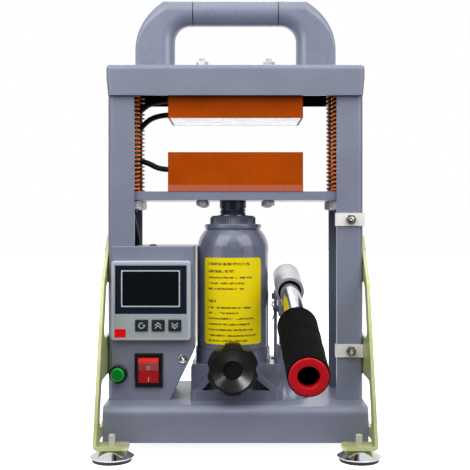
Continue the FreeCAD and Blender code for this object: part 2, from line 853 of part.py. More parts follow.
def make_side_braces():
    """A-shaped zinc plates outside the columns, with windows and inward foot tabs."""
    body = new_body("side_brace")
    foot, heel = D.foot_y + D.tab_half, D.foot_y - D.tab_half
    head = TAB_BOTTOM + D.brace_height
    shoulder = TAB_BOTTOM + D.brace_shoulder
    slope = (foot - D.brace_shoulder_half) / D.brace_shoulder

    def leg_inner(level):
        """Inner edge of a leg at a height above the tabs."""
        return foot - slope * level - D.brace_leg

    prism(body, "YZ", FRAME_HALF, BRACE_OUTER, [
        (-foot, TAB_BOTTOM), (-heel, TAB_BOTTOM), (-heel, TAB_BOTTOM + D.brace_bend),
        (heel, TAB_BOTTOM + D.brace_bend), (heel, TAB_BOTTOM), (foot, TAB_BOTTOM),
        (D.brace_shoulder_half, shoulder), (D.brace_top_half, head),
        (-D.brace_top_half, head), (-D.brace_shoulder_half, shoulder)])
    for low, high in ((D.brace_sill, D.brace_bar_low), (D.brace_bar_high, D.brace_head_low)):
        prism(body, "YZ", FRAME_HALF - OVER, BRACE_OUTER + OVER, [
            (-leg_inner(low), TAB_BOTTOM + low), (leg_inner(low), TAB_BOTTOM + low),
            (leg_inner(high), TAB_BOTTOM + high), (-leg_inner(high), TAB_BOTTOM + high)], cut=True)
    fillet(body, D.brace_corner, lambda edge: runs_along(edge, "x")
           and edge.BoundBox.ZMin > float(TAB_BOTTOM + D.brace_bend + OVER))
    tab_inner = BRACE_OUTER - D.brace_sheet - D.tab_reach
    for side in (-1, 1):
        front, back = (heel, foot) if side > 0 else (-foot, -heel)
        prism(body, "XY", TAB_BOTTOM, TAB_TOP, box_loop(tab_inner, front, BRACE_OUTER, back))
    fillet(body, D.tab_corner, lambda edge: runs_along(edge, "z")
           and near(edge.BoundBox.XMin, tab_inner))
    fillet(body, D.brace_bend, lambda edge: runs_along(edge, "y")
           and near(edge.BoundBox.XMin, BRACE_OUTER) and near(edge.BoundBox.ZMin, TAB_BOTTOM))
    fillet(body, D.brace_bend - D.brace_sheet, lambda edge: runs_along(edge, "y")
           and near(edge.BoundBox.XMin, FRAME_HALF) and near(edge.BoundBox.ZMin, TAB_TOP))
    prism(body, "XY", TAB_BOTTOM - OVER, TAB_TOP + OVER,
          Circle(D.foot_x, -D.foot_y, D.stud / 2), Circle(D.foot_x, D.foot_y, D.stud / 2), cut=True)
    holes = [Circle(sy * D.brace_bolt_spread / 2, level, D.plate_bolt / 2 + D.fit)
             for sy in (-1, 1) for level in (D.brace_bolt_low, D.brace_bolt_high)]
    prism(body, "YZ", FRAME_HALF - OVER, BRACE_OUTER + OVER, *holes, cut=True)
    return group("side_braces", [body, mirrored(body)])


def make_frame_bolts():
    """Brace bolts, handle screws, plate studs and the two strip bolts."""
    pieces = []
    shank = D.plate_bolt / 2
    for sx in (-1, 1):
        for sy in (-1, 1):
            for level in (D.brace_bolt_low, D.brace_bolt_high):
                y = sy * D.brace_bolt_spread / 2
                name = "brace_bolt_%d" % len(pieces)
                stem = rod_between(name + "_stem", (sx * (WEB_INNER - D.thin_nut), y, level),
                                   (sx * BRACE_OUTER, y, level), shank)
                head = rod_between(name + "_head", (sx * BRACE_OUTER, y, level),
                                   (sx * (BRACE_OUTER + D.button_head_height), y, level),
                                   D.button_head / 2)
                pieces.append(joined(name, stem, head))
        x = sx * D.handle_screw_x
        name = "handle_screw_%d" % len(pieces)
        stem = rod_between(name + "_stem", (x, 0.0, COLUMN_TOP),
                           (x, 0.0, BEAM_TOP + D.handle_screw_bite), shank)
        head = hexagon(name + "_head", D.plate_nut, D.plate_nut_height,
                       (x, 0.0, COLUMN_TOP - D.plate_nut_height), "z")
        pieces.append(joined(name, stem, head))
    bite = PRESS_UPPER + D.plate_thickness - D.plate_bolt_bite
    for x, y in corners(D.plate_bolt_x, D.plate_bolt_y):
        pieces.append(rod_between("plate_stud_%d" % len(pieces), (x, y, bite),
                                  (x, y, BEAM_TOP + D.plate_stud_proud), shank))
    for level in (D.clip_lower_z, D.clip_upper_z):
        name = "clip_bolt_%d" % len(pieces)
        front = COLUMN_FRONT - D.clip_sheet
        z = BASE_TOP + level
        stem = rod_between(name + "_stem", (D.clip_bolt_x, front, z),
                           (D.clip_bolt_x, COLUMN_FRONT + D.sheet + D.thin_nut, z),
                           D.clip_bolt / 2)
        head = hexagon(name + "_head", D.clip_head, D.clip_head_height,
                       (D.clip_bolt_x, front - D.clip_head_height, z), "y")
        pieces.append(joined(name, stem, head))
    return group("frame_bolts", pieces)


def ring_nut(name, across, height, start, axis, bore):
    """A hexagonal nut with its bore."""
    outer = hexagon(name + "_hex", across, height, start, axis)
    index = "xyz".index(axis)
    end = list(start)
    end[index] = as_size(start[index]) + height
    return bored(name, outer, rod_between(name + "_bore", start, end, bore))


def make_frame_nuts():
    """Nuts of the brace bolts, plate studs, strip bolts and guide rods."""
    pieces = []
    shank = D.plate_bolt / 2
    for sx in (-1, 1):
        start_x = WEB_INNER - D.thin_nut if sx > 0 else -WEB_INNER
        for sy in (-1, 1):
            for level in (D.brace_bolt_low, D.brace_bolt_high):
                pieces.append(ring_nut("brace_nut_%d" % len(pieces), D.plate_nut, D.thin_nut,
                                       (start_x, sy * D.brace_bolt_spread / 2, level), "x", shank))
    for x, y in corners(D.plate_bolt_x, D.plate_bolt_y):
        pieces.append(ring_nut("stud_nut_%d" % len(pieces), D.plate_nut, D.plate_nut_height,
                               (x, y, BEAM_TOP), "z", shank))
    for x, y in corners(D.rod_x, D.rod_y):
        for start in (CARRIAGE_BOTTOM - D.rod_nut_height, ROD_NUT_BOTTOM):
            pieces.append(ring_nut("rod_nut_%d" % len(pieces), D.rod_nut, D.rod_nut_height,
                                   (x, y, start), "z", D.rod / 2))
    for level in (D.clip_lower_z, D.clip_upper_z):
        pieces.append(ring_nut("clip_nut_%d" % len(pieces), D.clip_head, D.thin_nut,
                               (D.clip_bolt_x, COLUMN_FRONT + D.sheet, BASE_TOP + level),
                               "y", D.clip_bolt / 2))
    return group("frame_nuts", pieces)


def make_column_clips():
    """Two bright strips bolted to the right column, lapped round the edge of its flange."""
    pieces = []
    outer_front = COLUMN_FRONT - D.clip_sheet
    for name, level, wraps in (("clip_lower", D.clip_lower_z, False),
                               ("clip_upper", D.clip_upper_z, True)):
        body = new_body(name)
        low = BASE_TOP + level - D.clip_height / 2
        high = low + D.clip_height
        end = FRAME_HALF + D.clip_sheet if wraps else FRAME_HALF - D.clearance
        edge = FLANGE_EDGE - D.clip_sheet
        outline = [(edge, outer_front), (end, outer_front)]
        if wraps:
            outline += [(end, COLUMN_FRONT + D.clip_lap), (FRAME_HALF, COLUMN_FRONT + D.clip_lap),
                        (FRAME_HALF, COLUMN_FRONT)]
        else:
            outline += [(end, COLUMN_FRONT)]
        outline += [(FLANGE_EDGE, COLUMN_FRONT), (FLANGE_EDGE, COLUMN_FRONT + D.sheet),
                    (edge, COLUMN_FRONT + D.sheet)]
        prism(body, "XY", low, high, outline)
        prism(body, "XZ", outer_front - OVER, COLUMN_FRONT + OVER,
              Circle(D.clip_bolt_x, BASE_TOP + level, D.clip_bolt / 2 + D.fit), cut=True)
        pieces.append(body)
    return group("column_clips", pieces)


def make_guide_rods():
    """Four rods on which the carriage slides."""
    low = CARRIAGE_BOTTOM - D.rod_nut_height - D.rod_end
    return group("guide_rods", [
        rod_between("guide_rod_%d" % index, (x, y, low), (x, y, COLUMN_TOP), D.rod / 2)
        for index, (x, y) in enumerate(corners(D.rod_x, D.rod_y))])


def plate_holes(radius):
    """The four holes for the bolts of a plate."""
    return [Circle(x, y, radius) for x, y in corners(D.plate_bolt_x, D.plate_bolt_y)]


def make_pad(name, low, high, inner_low, inner_high):
    """Insulation board outside a plate's housing, and the one inside it."""
    outer = new_body(name + "_outer")
    x = D.plate_length / 2 + D.housing_wall
    y = D.plate_width / 2 + D.housing_wall
    prism(outer, "XY", low, high, box_loop(-x, -y, x, y))
    prism(outer, "XY", low, high, *plate_holes(D.plate_bolt / 2 + D.fit), cut=True)
    inner = new_body(name + "_inner")
    prism(inner, "XY", inner_low, inner_high,
          box_loop(-D.plate_length / 2, -D.plate_width / 2, D.plate_length / 2, D.plate_width / 2))
    prism(inner, "XY", inner_low, inner_high, *plate_holes(D.plate_bolt / 2 + D.fit), cut=True)
    return group(name, [outer, inner])


def make_housing(name, low, high, open_below, lead_places):
    """Folded orange tray round a heating plate, open on the press side."""
    body = new_body(name)
    wall = D.housing_wall
    x = D.plate_length / 2
    y = D.plate_width / 2
    prism(body, "XY", low, high, box_loop(-x - wall, -y - wall, x + wall, y + wall))
    fillet(body, wall, lambda edge: runs_along(edge, "z"))
    inner_low = low if open_below else low + wall
    inner_high = high - wall if open_below else high
    prism(body, "XY", inner_low, inner_high, box_loop(-x, -y, x, y), cut=True)
    floor = high - wall if open_below else low
    prism(body, "XY", floor, floor + wall, *plate_holes(D.plate_bolt / 2 + D.fit), cut=True)
    leads = [Circle(y_lead, z_lead, D.lead / 2 + D.clearance) for y_lead, z_lead in lead_places]
    prism(body, "YZ", -x - wall - OVER, -x, *leads, cut=True)
    return node(name, body)


def make_plate(name, low, bite_low):
    """Aluminium heating plate, bored for its heaters and tapped for its bolts."""
    body = new_body(name)
    x = D.plate_length / 2
    y = D.plate_width / 2
    prism(body, "XY", low, low + D.plate_thickness, box_loop(-x, -y, x, y))
    middle = low + D.plate_thickness / 2
    prism(body, "YZ", -x, -x + D.heater_length,
          Circle(-D.heater_y, middle, D.heater / 2 + D.fit),
          Circle(D.heater_y, middle, D.heater / 2 + D.fit), cut=True)
    prism(body, "XY", bite_low, bite_low + D.plate_bolt_bite, *plate_holes(D.plate_bolt / 2), cut=True)
    return node(name, body)


def make_heaters(name, low):
    """Two heater cartridges in the bores of a plate."""
    middle = low + D.plate_thickness / 2
    return group(name, [
        rod_between(name + "_%d" % side, (-D.plate_length / 2, side * D.heater_y, middle),
                    (-D.plate_length / 2 + D.heater_length, side * D.heater_y, middle), D.heater / 2)
        for side in (-1, 1)])


def make_upper_press():
    """Everything between the top beam and the press gap."""
    top = UPPER_STACK - D.housing_wall
    plate_top = PRESS_UPPER + D.plate_thickness
    make_pad("upper_insulation_pad", UPPER_STACK, COLUMN_TOP, plate_top, top)
    make_housing("upper_plate_housing", PRESS_UPPER, UPPER_STACK, True,
                 [(route[0][1], route[0][2]) for route in UPPER_ROUTES])
    make_plate("upper_heating_plate", PRESS_UPPER, plate_top - D.plate_bolt_bite)
    make_heaters("upper_heaters", PRESS_UPPER)


def make_lower_press():
    """The stack that rides on the carriage beam."""
    floor = LOWER_STACK + D.housing_wall
    plate_low = PRESS_LOWER - D.plate_thickness
    make_pad("lower_insulation_pad", CARRIAGE_TOP, LOWER_STACK, floor, plate_low)
    make_housing("lower_plate_housing", LOWER_STACK, PRESS_LOWER, False,
                 [(LOWER_ROUTE[0][1], LOWER_ROUTE[0][2])])
    make_plate("lower_heating_plate", plate_low, plate_low)
    make_heaters("lower_heaters", plate_low)
    pieces = []
    for x, y in corners(D.plate_bolt_x, D.plate_bolt_y):
        name = "lower_plate_bolt_%d" % len(pieces)
        stem = rod_between(name + "_stem", (x, y, CARRIAGE_BOTTOM),
                           (x, y, plate_low + D.plate_bolt_bite), D.plate_bolt / 2)
        head = hexagon(name + "_head", D.plate_nut, D.plate_bolt,
                       (x, y, CARRIAGE_BOTTOM - D.plate_bolt), "z")
        pieces.append(joined(name, stem, head))
    group("lower_plate_bolts", pieces)


def make_lower_beam():
    """Carriage plate: slides on the rods, notched for the leads."""
    body = new_body("lower_beam")
    x = D.carriage_length / 2
    y = D.carriage_depth / 2
    prism(body, "XY", CARRIAGE_BOTTOM, CARRIAGE_TOP, box_loop(-x, -y, x, y))
    fillet(body, D.carriage_corner, lambda edge: runs_along(edge, "z"))
    notch = D.carriage_notch / 2
    rods = [Circle(rx, ry, D.rod / 2 + D.fit) for rx, ry in corners(D.rod_x, D.rod_y)]
    prism(body, "XY", CARRIAGE_BOTTOM, CARRIAGE_TOP, *rods,
          *plate_holes(D.plate_bolt / 2 + D.fit), cut=True)
    prism(body, "XY", CARRIAGE_BOTTOM, CARRIAGE_TOP,
          box_loop(-x - OVER, -notch, -D.carriage_notch_end, notch), cut=True)
    return node("lower_beam", body)


def rounded_path(points):
    """Straight runs joined by tangent arcs as large as the runs allow; also its length and radii."""
    spots = [V(*point) for point in points]
    edges, radii, length = [], [], 0.0
    start = spots[0]
    for before, corner, after in zip(spots, spots[1:], spots[2:]):
        inward = (before - corner).normalize()
        outward = (after - corner).normalize()
        turn = math.pi - inward.getAngle(outward)
        reach = 0.45 * min((before - corner).Length, (after - corner).Length)
        radius = reach / math.tan(turn / 2)
        first, last = corner + inward * reach, corner + outward * reach
        towards = ((first + last) / 2 - corner).normalize()
        middle = corner + towards * (radius / math.cos(turn / 2) - radius)
        edges.append(Part.LineSegment(start, first).toShape())
        edges.append(Part.Arc(first, middle, last).toShape())
        length += (first - start).Length + radius * turn
        radii.append(radius)
        start = last
    edges.append(Part.LineSegment(start, spots[-1]).toShape())
    length += (spots[-1] - start).Length
    return Part.Wire(edges), length, radii


def swept_round(path, start, along, diameter):
    """A round tube along a path."""
    ring = Part.Wire([Part.Circle(start, along, diameter / 2).toShape()])
    return path.makePipeShell([ring], True, False)


def make_lead(name, route):
    """One lead, whole, along its route; prints its length, radii and volume."""
    path, length, radii = rounded_path(route)
    diameter = D.lead.value
    shape = swept_round(path, V(*route[0]), V(*route[1]) - V(*route[0]), diameter)
    section = math.pi * diameter ** 2 / 4
    print("%s: length %.1f, least radius %.1f, volume ratio %.4f"
          % (name, length, min(radii), shape.Volume / (section * length)))
    print("  radii " + " ".join("%.1f" % radius for radius in radii))
    lead = doc.addObject("Part::Feature", name)
    lead.Shape = shape
    return lead


def make_leads():
    """Heater and sensor leads."""
    group("upper_leads", [make_lead("upper_lead_%d" % index, route)
                          for index, route in enumerate(UPPER_ROUTES)])
    node("lower_lead", make_lead("lower_lead_run", LOWER_ROUTE))


def arc_from_tangents(start, along, end):
    """The arc that leaves start along a direction and ends at end."""
    chord = end - start
    across = along.normalize().cross(chord).cross(along).normalize()
    radius = chord.Length ** 2 / (2 * chord.dot(across))
    centre = start + across * radius
    middle = centre + ((start + end) / 2 - centre).normalize() * radius
    return Part.Arc(start, middle, end).toShape()


def biarc(start, along, end, leaving):
    """Two arcs from start to end with the given unit tangents."""
    gap = end - start
    both = along + leaving
    a = 4 - both.dot(both)
    b = gap.dot(both)
    reach = (-b + math.sqrt(b * b + a * gap.dot(gap))) / a
    joint = (start + along * reach + end - leaving * reach) / 2
    first = arc_from_tangents(start, V(along), joint)
    last = arc_from_tangents(end, V(leaving) * -1, joint)
    return [first, last]


def spring_shape():
    """One return spring about its own axis, standing on z = 0, with ends square to the seats."""
    wire = D.spring_wire.value
    radius = D.spring_mean.value / 2
    height = (ROD_NUT_BOTTOM - CARRIAGE_TOP).value
    bend = D.spring_end_bend.value
    turns = int(D.spring_turns.value)
    pitch = (height - 2 * (wire + bend)) / turns
    slope = math.atan(pitch / (2 * math.pi * radius))
    flat = bend * math.cos(slope)
    sideways = bend * (1 - math.sin(slope))
    low = wire + flat
    pitch = (height - 2 * low) / turns
    half_turns = 2 * turns

    def spot(quarter_index):
        """Point and unit tangent of the helix after so many half turns."""
        angle = math.pi * quarter_index
        point = V(radius * math.cos(angle), radius * math.sin(angle),
                  low + pitch * quarter_index / 2)
        along = V(-math.sin(angle) * radius, math.cos(angle) * radius,
                  pitch / (2 * math.pi)).normalize()
        return point, along

    first, first_along = spot(0)
    last, last_along = spot(half_turns)
    foot = V(radius, -sideways, wire)
    edges = [Part.LineSegment(V(foot.x, foot.y, 0), foot).toShape(),
             arc_from_tangents(first, first_along * -1, foot)]
    for index in range(half_turns):
        edges += biarc(*spot(index), *spot(index + 1))
    head = V(last.x, sideways, height - wire)
    edges += [arc_from_tangents(last, V(last_along), head),
              Part.LineSegment(head, V(head.x, head.y, height)).toShape()]
    path = Part.Wire(Part.sortEdges(edges)[0])
    print("spring: %d turns, pitch %.2f, least gap to itself %.2f"
          % (turns, pitch, least_gap(path, wire, pitch)))
    return swept_round(path, V(foot.x, foot.y, 0), V(0, 0, 1), wire)


def least_gap(path, wire, pitch):
    """Least gap between points of a wound wire that lie more than half a turn apart."""
    steps = 900
    points = path.discretize(steps)
    skip = int(steps * 0.6 / D.spring_turns.value)
    nearest = min((points[i] - points[j]).Length
                  for i in range(steps)
                  for j in range(i + skip, min(i + 4 * skip, steps)))
    return nearest - wire


def make_return_springs():
    """Four springs round the rods, between the carriage and the upper nuts."""
    shape = spring_shape()
    pieces = []
    for x, y in corners(D.rod_x, D.rod_y):
        spring = doc.addObject("Part::Feature", "return_spring_%d" % len(pieces))
        spring.Shape = shape
        pieces.append(place(spring, x, y, CARRIAGE_TOP))
    group("return_springs", pieces)


def make_feet():
    """Four chromed screw feet on rubber pads."""
    pads = []
    rim, crown = D.foot_rim / 2, D.foot_crown / 2
    stud = D.stud / 2 - D.fit
    top = TAB_BOTTOM + D.stud_length
    edge = D.stud_edge
    for index, (x, y) in enumerate(corners(D.foot_x, D.foot_y)):
        pad = doc.addObject("Part::Cone", "foot_pad_%d" % index)
        bind(pad, "Radius1", D.foot_pad_base / 2)
        bind(pad, "Radius2", rim - D.foot_lip)
        bind(pad, "Height", D.foot_pad)
        pads.append(place(pad, x, y, 0.0))
        name = ("foot_left_front", "foot_left_rear", "foot_right_front", "foot_right_rear")[index]
        body = new_body(name)
        turned(body, [(0.0, D.foot_pad), (rim - D.foot_lip, D.foot_pad),
                      (rim, D.foot_pad + D.foot_lip), (crown, TAB_BOTTOM), (stud, TAB_BOTTOM),
                      (stud, top - edge), (stud - edge, top), (0.0, top)])
        node(name, body, x, y)
    group("foot_pads", pads)


def box_outline(left, inset):
    """Outline of the control box seen from the front, drawn in by the wall or not."""
    inset = as_size(inset)
    top = BASE_TOP + D.box_height - inset
    run = D.box_corner_x - D.box_right
    length = root(run * run + D.box_corner_z * D.box_corner_z)
    shift = inset * length / D.box_corner_z
    low_x = -D.box_corner_x - shift + inset * run / D.box_corner_z
    high_z = BASE_TOP + D.box_corner_z + (shift - inset) * D.box_corner_z / run
    return [(-left, BASE_TOP + inset), (low_x, BASE_TOP + inset),
            (-D.box_right - inset, high_z), (-D.box_right - inset, top), (-left, top)]


def centred(x, z, width, height):
    """A rectangle about a centre."""
    return box_loop(x - width / 2, z - height / 2, x + width / 2, z + height / 2)


def make_control_box():
    """Folded box beside the left column, with the front panel laid over the column."""
    body = new_body("control_box")
    rear = COLUMN_FRONT + D.box_depth
    prism(body, "XZ", PANEL_FRONT, COLUMN_FRONT, box_outline(D.panel_left, 0.0))
    fillet(body, D.panel_edge, lambda edge: near(edge.BoundBox.YMin, PANEL_FRONT)
           and near(edge.BoundBox.YMax, PANEL_FRONT)
           and edge.BoundBox.ZMax > float(BASE_TOP + OVER))
    prism(body, "XZ", COLUMN_FRONT, rear, box_outline(D.box_left, 0.0))
    prism(body, "XZ", COLUMN_FRONT, rear + OVER, box_outline(D.box_left + OVER, D.box_wall), cut=True)
    gap = D.clearance * 2
    case_z = BASE_TOP + D.bezel_z
    switch_z = BASE_TOP + D.switch_z
    prism(body, "XZ", PANEL_FRONT - OVER, COLUMN_FRONT + OVER,
          centred(-D.bezel_x, case_z, D.case_side + gap, D.case_side + gap),
          centred(-D.switch_x, switch_z, D.switch_body_width + gap, D.switch_body_height + gap),
          Circle(-D.button_x, BASE_TOP + D.button_z, D.button_body / 2 + D.fit),
          Circle(D.panel_screw_x, BASE_TOP + D.panel_screw_z, SCREW_STEM), cut=True)
    prism(body, "XY", BASE_TOP + D.box_height - D.box_wall - OVER, BASE_TOP + D.box_height + OVER,
          Circle(D.lid_screw_x, COLUMN_FRONT + D.lid_screw_y, SCREW_STEM), cut=True)
    node("control_box", body)

    cover = new_body("control_box_cover")
    prism(cover, "XZ", rear, rear + D.box_wall, box_outline(D.box_left, 0.0))
    prism(cover, "XZ", rear - OVER, rear + D.box_wall + OVER,
          centred(-D.inlet_x, BASE_TOP + D.inlet_z, D.inlet_width + gap, D.inlet_height + gap),
          *[Circle(x, z, SCREW_STEM) for x, z in COVER_SCREWS], cut=True)
    for x, z in COVER_SCREWS:
        prism(body, "XZ", rear - D.box_boss, rear,
              centred(x, z, D.box_screw * 2 + D.box_wall / 2, D.box_screw * 2 + D.box_wall / 2))
        prism(body, "XZ", rear - D.box_boss, rear, Circle(x, z, SCREW_STEM), cut=True)
    node("control_box_cover", cover)


def pan_screw(name, x, y, z, turn):
    """A screw with a domed head; its head lies on the surface at the given place."""
    body = new_body(name)
    length, head = D.box_screw_length, D.box_screw
    turned(body, [(0.0, -length), (SCREW_STEM, -length), (SCREW_STEM, 0.0), (head, 0.0),
                  (head / 2, head / 2, head / 8), (0.0, head / 2)])
    return place(body, x, y, z, *turn)


def make_box_screws():
    """Screws of the control box: front, top and rear cover."""
    rear = COLUMN_FRONT + D.box_depth + D.box_wall
    pieces = [pan_screw("box_screw_front", D.panel_screw_x, PANEL_FRONT,
                        BASE_TOP + D.panel_screw_z, FORWARD),
              pan_screw("box_screw_top", D.lid_screw_x, COLUMN_FRONT + D.lid_screw_y,
                        BASE_TOP + D.box_height, UPWARD)]
    pieces += [pan_screw("cover_screw_%d" % index, x, rear, z, BACKWARD)
               for index, (x, z) in enumerate(COVER_SCREWS)]
    group("box_screws", pieces)


def keypad_places():
    """Distances of the three keys from the middle of the press."""
    return [-D.keypad_x + shift * D.keypad_pitch for shift in (-1, 0, 1)]


def make_controller():
    """Temperature controller: bezel and case, display window and three keys."""
    body = new_body("controller_case")
    front = PANEL_FRONT - D.bezel_thickness
    middle_z = BASE_TOP + D.bezel_z
    prism(body, "XZ", front, PANEL_FRONT, centred(-D.bezel_x, middle_z, D.bezel, D.bezel))
    fillet(body, D.bezel_corner, lambda edge: runs_along(edge, "y"))
    fillet(body, D.bezel_corner / 2, lambda edge: near(edge.BoundBox.YMax, front))
    prism(body, "XZ", PANEL_FRONT, PANEL_FRONT + D.case_depth,
          centred(-D.bezel_x, middle_z, D.case_side, D.case_side))
    rear = PANEL_FRONT + D.case_depth
    prism(body, "XZ", rear - OVER, rear + D.terminal_depth,
          box_loop(-D.terminal_left, BASE_TOP + D.terminal_low,
                   -D.terminal_right, BASE_TOP + D.terminal_high))
    display_z = BASE_TOP + D.display_z
    prism(body, "XZ", front - OVER, front + D.display_depth,
          centred(-D.bezel_x, display_z, D.display_width, D.display_height), cut=True)
    key_z = BASE_TOP + D.keypad_z
    gap = D.keypad_gap * 2
    floor = front - D.keypad_proud + D.keypad_body + D.keypad_travel + D.fit
    prism(body, "XZ", front - OVER, floor,
          *[centred(x, key_z, D.keypad_width + gap, D.keypad_height + gap)
            for x in keypad_places()], cut=True)
    node("controller_case", body)

    window = new_body("display_window")
    prism(window, "XZ", front, front + D.display_depth,
          centred(-D.bezel_x, display_z, D.display_width - D.fit, D.display_height - D.fit))
    node("display_window", window)

    for name, x in zip(("set_key", "up_key", "down_key"), keypad_places()):
        cap = new_body(name)
        prism(cap, "XZ", front - D.keypad_proud, front - D.keypad_proud + D.keypad_body,
              centred(x, key_z, D.keypad_width, D.keypad_height))
        fillet(cap, D.keypad_gap, lambda edge: near(edge.BoundBox.YMax, front - D.keypad_proud))
        node(name, cap)


def make_switch():
    """Rocker switch: snap-in housing and the rocker on its two pins."""
    housing = new_body("switch_housing")
    z = BASE_TOP + D.switch_z
    front = PANEL_FRONT - D.switch_rim
    prism(housing, "XZ", front, PANEL_FRONT, centred(-D.switch_x, z, D.switch_width, D.switch_height))
    chamfer(housing, D.switch_rim / 3, lambda edge: near(edge.BoundBox.YMax, front))
    prism(housing, "XZ", PANEL_FRONT, PANEL_FRONT + D.switch_body_depth,
          centred(-D.switch_x, z, D.switch_body_width, D.switch_body_height))
    gap = D.clearance * 2
    prism(housing, "XZ", front - OVER, PANEL_FRONT + D.rocker_back + D.clearance * 8,
          centred(-D.switch_x, z, D.rocker_width + gap, D.rocker_radius * 2 + gap), cut=True)
    pin_half = D.rocker_width / 2 + 1
    prism(housing, "YZ", -D.switch_x - pin_half - D.fit, -D.switch_x + pin_half + D.fit,
          Circle(PANEL_FRONT, z, D.rocker_pin / 2 + D.fit), cut=True)
    node("switch_housing", housing)

    rocker = new_body("power_rocker")
    radius = D.rocker_radius
    slant = sine(D.rocker_tilt) / cosine(D.rocker_tilt)
    valley = D.rocker_valley
    full = 1 + slant * slant
    tip_z = (root(full * (radius * radius - valley * valley) + valley * valley * slant * slant)
             - valley * slant) / full
    tip_y = -(valley + tip_z * slant)
    low_z = -root(radius * radius - valley * valley)
    shoulder = D.rocker_back / 3
    side_z = root(radius * radius - shoulder * shoulder)

    def bulge(y0, z0, y1, z1):
        """Height of the arc about the pivot over a chord."""
        chord = (y1 - y0) * (y1 - y0) + (z1 - z0) * (z1 - z0)
        return radius - root(radius * radius - chord / 4)

    y = PANEL_FRONT
    prism(rocker, "YZ", -D.switch_x - D.rocker_width / 2, -D.switch_x + D.rocker_width / 2, [
        (y - valley, z), (y - valley, z + low_z),
        (y + shoulder, z - side_z, bulge(-valley, low_z, shoulder, -side_z)),
        (y + D.rocker_back, z - D.rocker_back), (y + D.rocker_back, z + D.rocker_back),
        (y + shoulder, z + side_z),
        (y + tip_y, z + tip_z, bulge(shoulder, side_z, tip_y, tip_z))])
    prism(rocker, "YZ", -D.switch_x - pin_half, -D.switch_x + pin_half,
          Circle(PANEL_FRONT, z, D.rocker_pin / 2))
    node("power_rocker", rocker)


def make_push_button():
    """Green push button: threaded body with its bezel, and the cap on a stem."""
    z = BASE_TOP + D.button_z
    edge = D.button_edge
    bezel, thread = D.button_bezel / 2, D.button_body / 2
    cap, stem = D.button_cap / 2, D.button_stem / 2
    top = D.button_bezel_length
    cap_low = top + D.button_cap_proud - D.button_cap_length
    stem_low = -D.button_body_length / 2
    pocket = cap_low - D.button_travel - D.fit
    well = stem_low - D.button_travel - D.fit
    body = new_body("button_body")
    turned(body, [(0.0, -D.button_body_length), (thread, -D.button_body_length), (thread, 0.0),
                  (bezel, 0.0), (bezel, top - edge), (bezel - edge, top), (cap + D.fit, top),
                  (cap + D.fit, pocket), (stem + D.fit, pocket), (stem + D.fit, well), (0.0, well)])
    node("button_body", body, -D.button_x, PANEL_FRONT, z, *FORWARD)
    plunger = new_body("start_button")
    high = top + D.button_cap_proud
    turned(plunger, [(0.0, stem_low), (stem, stem_low), (stem, cap_low), (cap, cap_low),
                     (cap, high - edge), (cap - edge, high), (0.0, high)])
    node("start_button", plunger, -D.button_x, PANEL_FRONT, z, *FORWARD)


def make_power_inlet():
    """Rear inlet with its three blades; the mains cord isn't part of the press."""
    body = new_body("power_inlet")
    face = COLUMN_FRONT + D.box_depth + D.box_wall
    x, z = -D.inlet_x, BASE_TOP + D.inlet_z
    prism(body, "XZ", face, face + D.inlet_flange,
          centred(x, z, D.inlet_flange_width, D.inlet_flange_height))
    prism(body, "XZ", face - D.inlet_depth, face, centred(x, z, D.inlet_width, D.inlet_height))
    wall = D.inlet_flange * 0.9
    prism(body, "XZ", face - D.inlet_depth + wall * 3, face + D.inlet_flange + OVER,
          centred(x, z, D.inlet_width - 2 * wall, D.inlet_height - 2 * wall), cut=True)
    for shift, rise in ((-1, -0.25), (1, -0.25), (0, 0.25)):
        prism(body, "XZ", face - D.inlet_depth + wall, face - wall,
              centred(x + shift * D.inlet_width / 4, z + rise * D.inlet_height / 2,
                      D.inlet_flange * 0.8, D.inlet_flange * 1.6))
    node("power_inlet", body)


